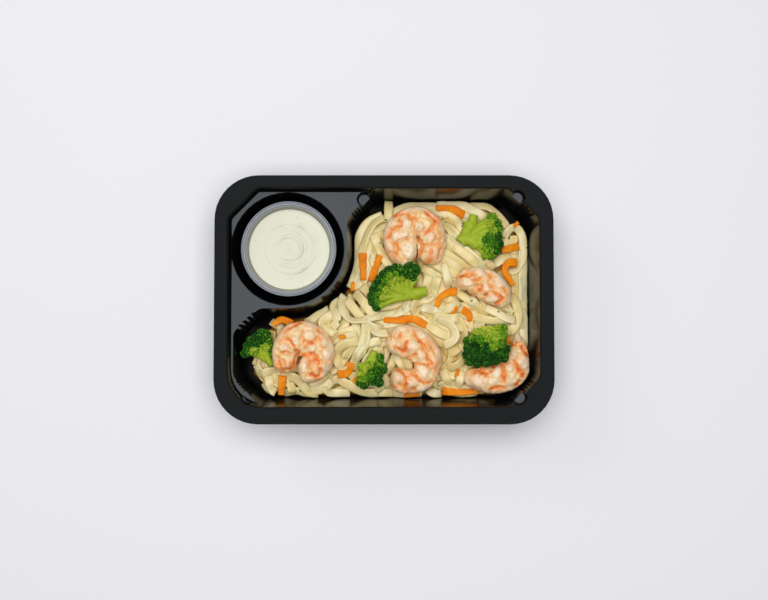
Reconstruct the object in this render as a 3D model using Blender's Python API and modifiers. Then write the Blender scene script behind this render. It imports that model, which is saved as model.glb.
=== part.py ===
"""A single-serve hot meal in a black thermoformed tray.

Fettuccine with curled shrimps, broccoli florets and carrot strips fills an L-shaped
compartment, and a clear cup of creamy dip stands in a round well in the corner.

The frame has +X to the right, +Y to the back and +Z up. The origin is the centre of the
tray's outline, on the surface that the tray stands on. Lengths are in metres.
"""
import math
import random

import bmesh
import bpy
from mathutils import Matrix, Vector
from mathutils.bvhtree import BVHTree

MM = 0.001
SEED = 11
GAP = 0.3 * MM

# Tray: outline, heights and sheet
TRAY_LENGTH = 225.8 * MM
TRAY_WIDTH = 165.6 * MM
TRAY_CORNER = 29.5 * MM
TRAY_HEIGHT = 40.0 * MM
FLANGE_SHEET = 1.0 * MM
LIP_DROP = 2.8 * MM
LIP_SHEET = 0.9 * MM
EDGE_ROUND = 0.7 * MM
SHEET = 0.8 * MM
DRAFT = math.tan(math.radians(10.5))
SHOULDER = 1.5 * MM
FLOOR_FILLET = 4.0 * MM

# Tray: the corners of the L-shaped compartment, clockwise, each with its fillet radius
WELL_X, WELL_Y = -64.8 * MM, 34.2 * MM
RIDGE_RADIUS = 39.0 * MM
OPENING_LEFT, OPENING_RIGHT = -102.0 * MM, 103.4 * MM
OPENING_BACK, OPENING_FRONT = 73.8 * MM, -71.2 * MM
RIDGE_X = WELL_X + RIDGE_RADIUS
RIDGE_Y = WELL_Y - RIDGE_RADIUS
CORNER_ROUND = 8.0 * MM

# Tray: ribs on the cut corners and the notches that keep stacked trays apart
FLUTE_DEPTH = 0.9 * MM
FLUTE_COUNT = 4
NOTCH_RADIUS = 4.6 * MM
NOTCH_ALONG = 8.5 * MM
NOTCH_SHARE = 0.46
FILLET_REACH = 3.8 * MM

# Tray: the lowered deck round the well, and the well
DECK_Z = 33.0 * MM
DECK_OVERLAP = 0.15 * MM
DECK_CORNER = 24.0 * MM
WELL_RADIUS = 37.4 * MM
WELL_FLOOR_RADIUS = 31.5 * MM
WELL_FLOOR_Z = 3.8 * MM

# Cup and dip
CUP_X, CUP_Y = -64.1 * MM, 34.3 * MM
CUP_RIM_RADIUS = 32.1 * MM
CUP_RIM_Z = 32.3 * MM
CUP_WALL = 0.5 * MM
CUP_BASE_RADIUS = 22.5 * MM
DIP_Z = 26.2 * MM
DIP_SWIRL = 0.45 * MM
DIP_SWIRL_PITCH = 8.5 * MM

# Noodles: the heap that the loose strands lie on, and a strand's cross-section
HEAP_BOTTOM_Z = 1.3 * MM
HEAP_MIDDLE_Z = 20.5 * MM
HEAP_EDGE_Z = 15.5 * MM
HEAP_CLEARANCE = 1.0 * MM
HEAP_CELL = 10.5 * MM

# Dishes in the heap that heavy toppings have pressed: middle, radius and depth
HEAP_DISHES = [
    (77.0 * MM, -38.0 * MM, 30.0 * MM, 6.5 * MM),
    (-85.6 * MM, -33.0 * MM, 18.0 * MM, 3.0 * MM),
    (5.4 * MM, 9.4 * MM, 20.0 * MM, 2.0 * MM),
    (69.5 * MM, 42.0 * MM, 16.0 * MM, 2.5 * MM),
]

# Noodles: a strand
NOODLE_WIDTH = 6.2 * MM
NOODLE_THICKNESS = 2.0 * MM
NOODLE_COUNT = 17
NOODLE_STEP = 6.5 * MM

# Carrot strips
CARROT_WIDTH = 5.2 * MM
CARROT_THICKNESS = 2.6 * MM


# Shrimps: where each one's curl is centred, the two radii of its curl, the way it is turned,
# the angles where its head end starts and how far it winds, and the half-width of its body
SHRIMP_FLATNESS = 0.72
SHRIMP_RINGS = 6
SHRIMPS = {
    "shrimp_1": (21.2, 41.2, 11.8, 11.8, 0.0, -116.0, -300.0, 8.7),
    "shrimp_2": (65.8, 6.2, 11.6, 7.6, -32.0, -150.0, -230.0, 8.2),
    "shrimp_3": (-53.9, -35.2, 11.4, 11.4, 0.0, -68.0, 306.0, 8.7),
    "shrimp_4": (18.6, -42.0, 12.4, 14.2, 0.0, -128.0, 268.0, 8.0),
    "shrimp_5": (76.0, -36.0, 13.8, 13.8, 0.0, -160.0, 208.0, 8.3),
}

# Broccoli: the middle of each crown, its two half-widths, the way its stem points, the stem's
# length from the middle of the crown and its half-width, and the number of lumps
FLORET_FLATNESS = 0.84
FLORETS = {
    "broccoli_1": (69.5, 42.2, 10.5, 13.5, 172.0, 19.5, 4.6, 7),
    "broccoli_2": (5.4, 9.4, 15.6, 16.0, -6.0, 24.5, 4.6, 9),
    "broccoli_3": (-85.6, -32.0, 10.4, 10.8, -55.0, 17.5, 3.7, 6),
    "broccoli_4": (-8.0, -45.4, 10.4, 12.6, -100.0, 6.0, 3.6, 6),
    "broccoli_5": (67.6, -29.4, 15.4, 13.6, 180.0, 5.0, 4.0, 8),
}

# Carrot strips: the points that each one runs through, and what it lies on
CARROTS = {
    "carrot_1": [(36.2, 63.6), (46.5, 63.0), (54.8, 58.6)],
    "carrot_2": [(-14.6, 32.4), (-14.0, 14.0)],
    "carrot_3": [(-2.2, 35.0), (-7.6, 24.2)],
    "carrot_4": [(49.6, 6.4), (43.6, 5.2), (38.2, 1.6), (35.8, -4.2)],
    "carrot_5": [(80.6, 34.0), (92.0, 37.2)],
    "carrot_6": [(90.6, 25.6), (85.2, 25.6), (82.4, 20.0), (88.2, 10.4)],
    "carrot_7": [(0.0, -13.4), (10.4, -13.6), (19.4, -12.6), (28.6, -17.0)],
    "carrot_8": [(53.5, -6.4), (58.0, -9.6), (58.2, -14.0)],
    "carrot_9": [(-21.6, -42.6), (-24.4, -49.0), (-31.6, -50.4)],
    "carrot_10": [(-69.6, -51.4), (-70.4, -62.4)],
    "carrot_11": [(-75.6, -16.6), (-69.6, -13.0), (-62.6, -16.0)],
    "carrot_12": [(40.0, -61.8), (52.0, -62.6), (64.0, -62.0)],
}


def fresh_collection(name, hidden=False):
    """A new collection under the scene, for finished parts or for guides."""
    collection = bpy.data.collections.new(name)
    bpy.context.scene.collection.children.link(collection)
    collection.hide_render = hidden
    return collection


def finish_material(name, colour, roughness, alpha=1.0):
    """A Principled material with the part's colour (linear), roughness and opacity."""
    material = bpy.data.materials.new(name)
    material.use_nodes = True
    shader = material.node_tree.nodes["Principled BSDF"]
    shader.inputs["Base Color"].default_value = (*colour, 1.0)
    shader.inputs["Roughness"].default_value = roughness
    shader.inputs["Alpha"].default_value = alpha
    return material


def object_from_bmesh(name, shape, collection, material=None, smooth_angle=None):
    """Turn a bmesh into an object, with its faces pointing out."""
    bmesh.ops.recalc_face_normals(shape, faces=shape.faces)
    mesh = bpy.data.meshes.new(name)
    shape.to_mesh(mesh)
    shape.free()
    if smooth_angle is not None:
        mesh.shade_smooth()
        mesh.set_sharp_from_angle(angle=math.radians(smooth_angle))
    obj = bpy.data.objects.new(name, mesh)
    collection.objects.link(obj)
    if material is not None:
        mesh.materials.append(material)
    return obj


def as_guide(obj):
    """Mark a cutter or a guide, which is not part of the finished object."""
    obj.hide_render = True
    obj.display_type = "WIRE"
    return obj


def evaluated_mesh(obj):
    """The mesh of an object with its modifiers applied."""
    bpy.context.view_layer.update()
    graph = bpy.context.evaluated_depsgraph_get()
    return bpy.data.meshes.new_from_object(obj.evaluated_get(graph))


def apply_modifiers(obj):
    """Keep the evaluated shape and drop the modifiers."""
    mesh = evaluated_mesh(obj)
    obj.modifiers.clear()
    obj.data = mesh
    return obj


def add_boolean(obj, operation, operand, solver="EXACT"):
    """Join an object with, or cut it by, one object or every object of a collection."""
    modifier = obj.modifiers.new(operation.title(), "BOOLEAN")
    modifier.operation = operation
    modifier.solver = solver
    if isinstance(operand, bpy.types.Collection):
        modifier.operand_type = "COLLECTION"
        modifier.collection = operand
    else:
        modifier.object = operand
    return modifier


def remove_collection(collection):
    """Remove a collection of helper shapes with its objects."""
    for obj in list(collection.objects):
        bpy.data.objects.remove(obj)
    bpy.data.collections.remove(collection)


# Outlines: corners moved inwards by the draft, then rounded
def unit(vector):
    length = math.hypot(*vector)
    return (vector[0] / length, vector[1] / length)


def inset_corners(corners, inset):
    """Move every edge of a clockwise polygon inwards, and intersect the neighbours."""
    moved = []
    count = len(corners)
    for i in range(count):
        before, here, after = corners[i - 1], corners[i], corners[(i + 1) % count]
        d1 = unit((here[0] - before[0], here[1] - before[1]))
        d2 = unit((after[0] - here[0], after[1] - here[1]))
        n1 = (d1[1], -d1[0])
        n2 = (d2[1], -d2[0])
        scale = inset / (1.0 + n1[0] * n2[0] + n1[1] * n2[1])
        moved.append((here[0] + scale * (n1[0] + n2[0]), here[1] + scale * (n1[1] + n2[1])))
    return moved


def corner_arc(before, here, after, radius, steps):
    """The points of a fillet between two edges."""
    d1 = unit((before[0] - here[0], before[1] - here[1]))
    d2 = unit((after[0] - here[0], after[1] - here[1]))
    half = 0.5 * math.acos(max(-1.0, min(1.0, d1[0] * d2[0] + d1[1] * d2[1])))
    middle = unit((d1[0] + d2[0], d1[1] + d2[1]))
    reach = radius / math.sin(half)
    centre = (here[0] + reach * middle[0], here[1] + reach * middle[1])
    tangent = radius / math.tan(half)
    start = (here[0] + tangent * d1[0] - centre[0], here[1] + tangent * d1[1] - centre[1])
    end = (here[0] + tangent * d2[0] - centre[0], here[1] + tangent * d2[1] - centre[1])
    turn = math.atan2(start[0] * end[1] - start[1] * end[0], start[0] * end[0] + start[1] * end[1])
    points = []
    for k in range(steps + 1):
        a = turn * k / steps
        x = start[0] * math.cos(a) - start[1] * math.sin(a)
        y = start[0] * math.sin(a) + start[1] * math.cos(a)
        points.append((centre[0] + x, centre[1] + y))
    return points


def main_corners():
    """The L-shaped compartment's corners at the opening, clockwise from the back left."""
    cut = 19.5 * MM
    return [
        (RIDGE_X + 18.3 * MM, OPENING_BACK, CORNER_ROUND, 3),
        (OPENING_RIGHT - 20.4 * MM, OPENING_BACK, CORNER_ROUND, 3),
        (OPENING_RIGHT, OPENING_BACK - cut, CORNER_ROUND, 3),
        (OPENING_RIGHT, OPENING_FRONT + cut, CORNER_ROUND, 3),
        (OPENING_RIGHT - 19.4 * MM, OPENING_FRONT, CORNER_ROUND, 3),
        (OPENING_LEFT + 17.5 * MM, OPENING_FRONT, CORNER_ROUND, 3),
        (OPENING_LEFT, OPENING_FRONT + cut, CORNER_ROUND, 3),
        (OPENING_LEFT, RIDGE_Y - 16.5 * MM, CORNER_ROUND, 3),
        (OPENING_LEFT + 18.0 * MM, RIDGE_Y, CORNER_ROUND, 3),
        (RIDGE_X, RIDGE_Y, RIDGE_RADIUS, 14),
        (RIDGE_X, OPENING_BACK - cut, CORNER_ROUND, 3),
    ]


# The cut corners of the compartment: the edge that starts at this corner, the distance of
# its ribs from that corner, and whether it has a stacking notch near its start or its end
CUT_EDGES = {1: "start", 3: "end", 5: "start", 7: "none", 10: "end"}


def edge_frame(corners, index):
    """The start, direction, outward normal and length of a polygon's edge."""
    start = corners[index]
    end = corners[(index + 1) % len(corners)]
    length = math.hypot(end[0] - start[0], end[1] - start[1])
    direction = ((end[0] - start[0]) / length, (end[1] - start[1]) / length)
    outward = (-direction[1], direction[0])
    return start, direction, outward, length


def flute_span(place, length):
    """Where the ribs begin and end along a cut corner, clear of its fillets and its notch."""
    first, last = FILLET_REACH, length - FILLET_REACH
    straight = last - first
    if place == "start":
        first += NOTCH_SHARE * straight
    elif place == "end":
        last -= NOTCH_SHARE * straight
    return first, last


def main_outline(inset, flute_share=0.0, ribbed=True):
    """The compartment's outline moved inwards, with its ribs as deep as the share says."""
    corners = main_corners()
    moved = inset_corners(corners, inset)
    count = len(corners)
    points = []
    for i in range(count):
        radius = corners[i][2]
        if i == 9:
            radius += inset
        points += corner_arc(moved[i - 1], moved[i], moved[(i + 1) % count], radius, corners[i][3])
        if ribbed and i in CUT_EDGES:
            start, direction, outward, length = edge_frame(moved, i)
            first, last = flute_span(CUT_EDGES[i], length)
            for k in range(3 * FLUTE_COUNT + 1):
                place = k // 3 + (0.0, 0.3, 0.7)[k % 3]
                along = first + (last - first) * place / FLUTE_COUNT
                push = flute_share * FLUTE_DEPTH if k % 3 else 0.0
                points.append((start[0] + along * direction[0] + push * outward[0],
                               start[1] + along * direction[1] + push * outward[1]))
    return points


def deck_outline(inset):
    """The lowered deck: its free edges follow the flange, the others end inside the compartment."""
    left, back = -103.6 * MM, OPENING_BACK + DECK_OVERLAP
    front = OPENING_FRONT - DECK_OVERLAP
    corners = [
        (left + 19.2 * MM, back, 5.0 * MM, 3),
        (-8.5 * MM, back, 1.0 * MM, 1),
        (0.0, 58.0 * MM, 1.0 * MM, 1),
        (0.0, -20.0 * MM, 1.0 * MM, 1),
        (-60.0 * MM, -20.0 * MM, 1.0 * MM, 1),
        (-60.0 * MM, -58.0 * MM, 1.0 * MM, 1),
        (-72.0 * MM, front, 1.0 * MM, 1),
        (left, front, DECK_CORNER, 8),
        (left, back - 19.3 * MM, 5.0 * MM, 3),
    ]
    moved = inset_corners(corners, inset)
    count = len(corners)
    points = []
    for i in range(count):
        radius, steps = corners[i][2:]
        points += corner_arc(moved[i - 1], moved[i], moved[(i + 1) % count], radius, steps)
    return points


def flange_outline(inset):
    """The tray's outer edge, a rectangle with large round corners."""
    x, y = 0.5 * TRAY_LENGTH - inset, 0.5 * TRAY_WIDTH - inset
    corners = [(-x, y), (x, y), (x, -y), (-x, -y)]
    points = []
    for i in range(4):
        points += corner_arc(corners[i - 1], corners[i], corners[(i + 1) % 4], TRAY_CORNER - inset, 10)
    return points


def circle(x, y, radius, steps):
    """Points on a circle, clockwise."""
    return [(x + radius * math.cos(2 * math.pi * k / steps), y - radius * math.sin(2 * math.pi * k / steps))
            for k in range(steps)]


def loft(name, levels, collection):
    """A closed solid through outlines that lie one above the other, with flat ends."""
    shape = bmesh.new()
    rings = [[shape.verts.new((x, y, z)) for x, y in outline] for z, outline in levels]
    count = len(rings[0])
    for lower, upper in zip(rings, rings[1:]):
        for i in range(count):
            j = (i + 1) % count
            shape.faces.new((lower[i], lower[j], upper[j], upper[i]))
    shape.faces.new(rings[0])
    shape.faces.new(rings[-1])
    return object_from_bmesh(name, shape, collection)


def wall_inset(z):
    """How far the compartment's inner wall has moved in at a height, by its draft and floor fillet."""
    fillet_z = SHEET + FLOOR_FILLET
    straight = (TRAY_HEIGHT - SHOULDER - max(z, fillet_z)) * DRAFT
    sunk = min(1.0, max(0.0, fillet_z - z) / FLOOR_FILLET)
    return straight + FLOOR_FILLET * (1.0 - math.sqrt(1.0 - sunk * sunk))


# Tray
def flange(collection, material):
    """The flat rim with its rounded outer edge and the lip that hangs from it."""
    top, bottom = TRAY_HEIGHT, TRAY_HEIGHT - LIP_DROP
    plate = loft("tray", [
        (bottom, flange_outline(0.0)),
        (top - EDGE_ROUND, flange_outline(0.0)),
        (top - 0.3 * EDGE_ROUND, flange_outline(0.3 * EDGE_ROUND)),
        (top, flange_outline(EDGE_ROUND)),
    ], collection)
    plate.data.materials.append(material)
    return plate


def lip_hollow(collection):
    """What leaves the lip hanging free under the rim."""
    return as_guide(loft("lip_hollow", [
        (TRAY_HEIGHT - LIP_DROP - MM, flange_outline(LIP_SHEET)),
        (TRAY_HEIGHT - FLANGE_SHEET, flange_outline(LIP_SHEET)),
    ], collection))


def shoulder_levels(outline):
    """The rounded step from a wall into the rim, as the top levels of a cutter."""
    top = TRAY_HEIGHT - SHOULDER
    levels = []
    for angle in (0.0, 42.0, 88.0):
        a = math.radians(angle)
        levels.append((top + SHOULDER * math.sin(a), outline(-SHOULDER * (1.0 - math.cos(a)))))
    levels.append((TRAY_HEIGHT + MM, outline(-SHOULDER * 1.05)))
    return levels


def compartment_shell(collection):
    """The outside of the L-shaped compartment."""
    def level(z, share):
        return z, main_outline(wall_inset(z + SHEET * 0.9) - SHEET, share)
    return as_guide(loft("compartment_shell", [
        (0.0, main_outline(wall_inset(SHEET) - 0.4 * SHEET)),
        level(1.2 * MM, 0.2),
        level(4.4 * MM, 1.0),
        level(TRAY_HEIGHT - 2.6 * MM, 1.0),
        (TRAY_HEIGHT - 0.5 * FLANGE_SHEET, main_outline(-SHEET, 0.0)),
    ], collection))


def compartment_hollow(collection):
    """The inside of the L-shaped compartment, with ribs on its cut corners."""
    levels = [
        (SHEET, main_outline(wall_inset(SHEET))),
        (2.0 * MM, main_outline(wall_inset(2.0 * MM), 0.4)),
        (SHEET + FLOOR_FILLET, main_outline(wall_inset(SHEET + FLOOR_FILLET), 1.0)),
        (TRAY_HEIGHT - 3.0 * MM, main_outline(wall_inset(TRAY_HEIGHT - 3.0 * MM), 1.0)),
    ]
    return as_guide(loft("compartment_hollow", levels + shoulder_levels(main_outline), collection))


def deck_shell(collection):
    """The sheet of the lowered deck, with its short wall up to the rim."""
    return as_guide(loft("deck_shell", [
        (DECK_Z - SHEET, deck_outline(0.4 * MM)),
        (TRAY_HEIGHT - 0.5 * FLANGE_SHEET, deck_outline(-SHEET)),
    ], collection))


def deck_hollow(collection):
    """The space above the lowered deck."""
    def level(z, inset):
        return z, deck_outline(inset)
    base = (TRAY_HEIGHT - SHOULDER - DECK_Z) * DRAFT
    levels = [level(DECK_Z, base + 0.6 * MM), level(DECK_Z + 0.6 * MM, base)]
    return as_guide(loft("deck_hollow", levels + shoulder_levels(deck_outline), collection))


def turned(name, profile, steps, collection, place=(0.0, 0.0), material=None, smooth_angle=40.0):
    """A turned solid from a profile of radius and height, top to bottom down its outer side."""
    mesh = bpy.data.meshes.new(name)
    points = [(r, 0.0, z) for r, z in profile]
    mesh.from_pydata(points, [(i, i + 1) for i in range(len(points) - 1)], [])
    obj = bpy.data.objects.new(name, mesh)
    collection.objects.link(obj)
    screw = obj.modifiers.new("Turn", "SCREW")
    screw.axis = "Z"
    screw.steps = steps
    screw.render_steps = steps
    screw.use_merge_vertices = True
    screw.merge_threshold = 0.000001
    shape = bmesh.new()
    shape.from_mesh(evaluated_mesh(obj))
    bpy.data.objects.remove(obj)
    bmesh.ops.remove_doubles(shape, verts=shape.verts, dist=0.000001)
    loose = [edge for edge in shape.edges if not edge.link_faces]
    bmesh.ops.delete(shape, geom=loose, context="EDGES")
    bmesh.ops.translate(shape, verts=shape.verts, vec=(*place, 0.0))
    obj = object_from_bmesh(name, shape, collection, smooth_angle=smooth_angle)
    if material is not None:
        obj.data.materials.append(material)
    return obj


def well_shell(collection):
    """The outside of the round well."""
    return as_guide(turned("well_shell", [
        (0.0, DECK_Z - 0.3 * SHEET),
        (WELL_RADIUS + SHEET, DECK_Z - 0.3 * SHEET),
        (WELL_FLOOR_RADIUS + SHEET, WELL_FLOOR_Z + 2.0 * MM),
        (WELL_FLOOR_RADIUS - 1.6 * MM, WELL_FLOOR_Z - SHEET),
        (0.0, WELL_FLOOR_Z - SHEET),
    ], 40, collection, (WELL_X, WELL_Y)))


def well_hollow(collection):
    """The inside of the round well, rounded into the deck and into its floor."""
    return as_guide(turned("well_hollow", [
        (0.0, DECK_Z + 2.0 * MM),
        (WELL_RADIUS + 1.0 * MM, DECK_Z + 2.0 * MM),
        (WELL_RADIUS + 0.9 * MM, DECK_Z + 0.02 * MM),
        (WELL_RADIUS + 0.3 * MM, DECK_Z - 0.4 * MM),
        (WELL_RADIUS, DECK_Z - 1.2 * MM),
        (WELL_FLOOR_RADIUS, WELL_FLOOR_Z + 2.6 * MM),
        (WELL_FLOOR_RADIUS - 0.8 * MM, WELL_FLOOR_Z + 0.8 * MM),
        (WELL_FLOOR_RADIUS - 2.6 * MM, WELL_FLOOR_Z),
        (0.0, WELL_FLOOR_Z),
    ], 40, collection, (WELL_X, WELL_Y)))


def notch_places():
    """The centres of the stacking notches, on the compartment's cut corners, and their shelf heights."""
    corners = main_corners()
    places = []
    for index, place in CUT_EDGES.items():
        if place == "none":
            continue
        start, direction, outward, length = edge_frame(inset_corners(corners, 0.0), index)
        along = NOTCH_ALONG if place == "start" else length - NOTCH_ALONG
        shelf = DECK_Z - 5.0 * MM if index == 10 else DECK_Z + MM
        places.append((start[0] + along * direction[0], start[1] + along * direction[1], shelf))
    return places


def notches(shells, hollows):
    """The stacking notches: short half-round columns outside the cut corners."""
    for number, (x, y, shelf) in enumerate(notch_places(), 1):
        top = TRAY_HEIGHT - 0.5 * FLANGE_SHEET
        if shelf < DECK_Z:
            top = DECK_Z - 0.4 * SHEET
        as_guide(loft(f"notch_shell_{number}", [
            (shelf - SHEET, circle(x, y, NOTCH_RADIUS + 0.2 * MM, 12)),
            (top, circle(x, y, NOTCH_RADIUS + SHEET, 12)),
        ], shells))
        as_guide(loft(f"notch_hollow_{number}", [
            (shelf, circle(x, y, NOTCH_RADIUS - 0.8 * MM, 12)),
            (shelf + 0.6 * MM, circle(x, y, NOTCH_RADIUS - 0.4 * MM, 12)),
            (top - 0.6 * MM, circle(x, y, NOTCH_RADIUS, 12)),
            (top + 0.5 * MM, circle(x, y, NOTCH_RADIUS + 0.9 * MM, 12)),
            (TRAY_HEIGHT + 1.3 * MM, circle(x, y, NOTCH_RADIUS + 1.1 * MM, 12)),
        ], hollows))


def make_tray(parts):
    """One thermoformed sheet: the rim, the L-shaped compartment, the deck and the well."""
    lips = fresh_collection("Tray lip", hidden=True)
    shells = fresh_collection("Tray shells", hidden=True)
    hollows = fresh_collection("Tray hollows", hidden=True)
    tray = flange(parts, finish_material("black polypropylene", (0.016, 0.019, 0.020), 0.42))
    add_boolean(tray, "DIFFERENCE", lip_hollow(lips))
    compartment_shell(shells)
    deck_shell(shells)
    well_shell(shells)
    compartment_hollow(hollows)
    deck_hollow(hollows)
    well_hollow(hollows)
    notches(shells, hollows)
    add_boolean(tray, "UNION", shells)
    add_boolean(tray, "DIFFERENCE", hollows)
    return tray


# Cup and dip
def make_cup(parts):
    """A clear portion cup with a rolled rim and a step where stacked cups rest."""
    base_z = WELL_FLOOR_Z + GAP
    rim, top, wall = CUP_RIM_RADIUS, CUP_RIM_Z, CUP_WALL
    neck = rim - 2.9 * MM
    return turned("portion_cup", [
        (neck, top - 0.3 * MM),
        (neck + 0.7 * MM, top),
        (rim - 0.8 * MM, top),
        (rim, top - 0.9 * MM),
        (rim - 0.1 * MM, top - 2.2 * MM),
        (rim - 0.7 * MM, top - 2.2 * MM),
        (rim - 0.9 * MM, top - 1.0 * MM),
        (neck + wall, top - 1.1 * MM),
        (neck + wall - 0.6 * MM, top - 5.0 * MM),
        (neck + wall - 1.9 * MM, top - 5.6 * MM),
        (CUP_BASE_RADIUS + 0.6 * MM, base_z + 0.8 * MM),
        (CUP_BASE_RADIUS, base_z),
        (0.0, base_z),
        (0.0, base_z + wall),
        (CUP_BASE_RADIUS, base_z + wall),
        (neck - 1.9 * MM, top - 5.3 * MM),
        (neck - 0.6 * MM, top - 4.7 * MM),
        (neck, top - 0.3 * MM),
    ], 32, parts, (CUP_X, CUP_Y), finish_material("clear polypropylene", (0.8, 0.82, 0.85), 0.12, 0.35))


def cup_inner_radius(z):
    """The radius of the cup's inner wall at a height below its step."""
    base_z = WELL_FLOOR_Z + GAP + CUP_WALL
    low, high = CUP_BASE_RADIUS, CUP_RIM_RADIUS - 4.8 * MM
    return low + (high - low) * (z - base_z) / (CUP_RIM_Z - 5.3 * MM - base_z)


def make_dip(parts):
    """The dip: it fills the cup to below its step, and its top keeps the swirl of the spoon."""
    base_z = WELL_FLOOR_Z + GAP + CUP_WALL
    low, high = base_z + 1.2 * MM, DIP_Z - 0.4 * MM
    rings = (0.90, 0.70, 0.48, 0.24)
    top_radius = cup_inner_radius(DIP_Z) - GAP
    profile = [(0.0, DIP_Z)]
    profile += [(share * top_radius, DIP_Z) for share in reversed(rings)]
    profile += [
        (top_radius, high),
        (cup_inner_radius(low) - GAP, low),
        (CUP_BASE_RADIUS - 0.9 * MM, base_z + GAP),
        (0.0, base_z + GAP),
    ]
    colour = finish_material("creamy dip", (0.78, 0.79, 0.68), 0.45)
    dip = turned("dip", profile, 24, parts, (CUP_X, CUP_Y), colour, 60.0)
    for vertex in dip.data.vertices:
        x, y = vertex.co.x - CUP_X, vertex.co.y - CUP_Y
        radius = math.hypot(x, y)
        if vertex.co.z > DIP_Z - 0.1 * MM and radius > 0.1 * MM:
            turn = math.atan2(y, x)
            wave = math.sin(turn - 2 * math.pi * radius / DIP_SWIRL_PITCH)
            vertex.co.z += DIP_SWIRL * wave * min(1.0, (top_radius - radius) / (3.0 * MM))
    return dip


# Food: sweeps, and laying one thing on another
def profile_curve(name, points, guides):
    """A closed flat outline that a curve carries along itself."""
    curve = bpy.data.curves.new(name, "CURVE")
    curve.dimensions = "2D"
    curve.fill_mode = "NONE"
    spline = curve.splines.new("POLY")
    spline.points.add(len(points) - 1)
    for point, (x, y) in zip(spline.points, points):
        point.co = (x, y, 0.0, 1.0)
    spline.use_cyclic_u = True
    obj = bpy.data.objects.new(name, curve)
    guides.objects.link(obj)
    return as_guide(obj)


def sweep(name, path, profile, collection, material=None, sizes=None, tilts=None, smooth_angle=60.0):
    """A mesh made by carrying a profile along a path, its flat side up."""
    curve = bpy.data.curves.new(name, "CURVE")
    curve.dimensions = "3D"
    curve.bevel_mode = "OBJECT"
    curve.bevel_object = profile
    curve.use_fill_caps = True
    curve.twist_mode = "Z_UP"
    spline = curve.splines.new("POLY")
    spline.points.add(len(path) - 1)
    for i, point in enumerate(spline.points):
        point.co = (*path[i], 1.0)
        point.radius = sizes[i] if sizes else 1.0
        point.tilt = tilts[i] if tilts else 0.0
    carrier = bpy.data.objects.new(name, curve)
    collection.objects.link(carrier)
    mesh = evaluated_mesh(carrier)
    bpy.data.objects.remove(carrier)
    shape = bmesh.new()
    shape.from_mesh(mesh)
    bmesh.ops.remove_doubles(shape, verts=shape.verts, dist=0.000001)
    return object_from_bmesh(name, shape, collection, material, smooth_angle)


def ellipse(width, height, steps):
    """A closed oval profile, anticlockwise."""
    return [(0.5 * width * math.cos(2 * math.pi * k / steps), 0.5 * height * math.sin(2 * math.pi * k / steps))
            for k in range(steps)]


def smooth_path(points, steps):
    """A rounded path through a few points, read at even steps of its parameter."""
    ends = [tuple(2 * a - b for a, b in zip(points[0], points[1]))]
    ends.append(tuple(2 * a - b for a, b in zip(points[-1], points[-2])))
    line = [ends[0], *points, ends[1]]
    path = []
    for k in range(steps + 1):
        place = k / steps * (len(points) - 1)
        i = min(int(place), len(points) - 2)
        t = place - i
        p0, p1, p2, p3 = line[i:i + 4]
        path.append(tuple(
            0.5 * (2 * b + (c - a) * t + (2 * a - 5 * b + 4 * c - d) * t * t + (3 * b - a - 3 * c + d) * t ** 3)
            for a, b, c, d in zip(p0, p1, p2, p3)))
    return path


def surface_tree(obj):
    """A search tree of an object's faces, and points spread over its corners and edges."""
    shape = bmesh.new()
    shape.from_mesh(obj.data)
    bmesh.ops.transform(shape, matrix=obj.matrix_world, verts=shape.verts)
    tree = BVHTree.FromBMesh(shape)
    samples = [vertex.co.copy() for vertex in shape.verts]
    for edge in shape.edges:
        first, second = edge.verts
        samples += [first.co.lerp(second.co, share) for share in (0.25, 0.5, 0.75)]
    shape.free()
    return tree, samples


def lay_on(obj, supports):
    """Lower an object until it lies on its supports, a small gap above them."""
    bpy.context.view_layer.update()
    high = 0.2
    down, up = Vector((0.0, 0.0, -1.0)), Vector((0.0, 0.0, 1.0))
    own_tree, own_samples = surface_tree(obj)
    lift = -high
    for support in supports:
        tree, samples = surface_tree(support)
        for sample in own_samples:
            hit = tree.ray_cast(Vector((sample.x, sample.y, high)), down)[0]
            if hit is not None:
                lift = max(lift, hit.z - sample.z)
        for sample in samples:
            hit = own_tree.ray_cast(Vector((sample.x, sample.y, -high)), up)[0]
            if hit is not None:
                lift = max(lift, sample.z - hit.z)
    obj.data.transform(Matrix.Translation((0.0, 0.0, lift + GAP)))
    return obj


# Noodles
def distance_inside(x, y, outline):
    """The distance from a point to an outline, negative outside it."""
    nearest = 1.0
    inside = False
    for (x1, y1), (x2, y2) in zip(outline, outline[1:] + outline[:1]):
        dx, dy = x2 - x1, y2 - y1
        span = dx * dx + dy * dy
        if span < 1e-14:
            continue
        t = max(0.0, min(1.0, ((x - x1) * dx + (y - y1) * dy) / span))
        nearest = min(nearest, math.hypot(x1 + t * dx - x, y1 + t * dy - y))
        if (y1 > y) != (y2 > y) and x < x1 + (y - y1) / dy * dx:
            inside = not inside
    return nearest if inside else -nearest


def heap_height(x, y, outline):
    """The height of the heap's bare surface: low at the walls, with broad soft bumps."""
    reach = max(0.0, min(1.0, distance_inside(x, y, outline) / (24.0 * MM)))
    rise = reach * reach * (3.0 - 2.0 * reach)
    bumps = math.sin(x / (13.0 * MM)) * math.cos(y / (11.0 * MM)) + 0.6 * math.sin((x + 2.0 * y) / (9.0 * MM))
    height = HEAP_EDGE_Z + (HEAP_MIDDLE_Z - HEAP_EDGE_Z) * rise + 0.8 * MM * bumps
    for dish_x, dish_y, radius, depth in HEAP_DISHES:
        share = math.hypot(x - dish_x, y - dish_y) / radius
        if share < 1.0:
            height -= depth * (1.0 - share * share) ** 2
    return height


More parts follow.
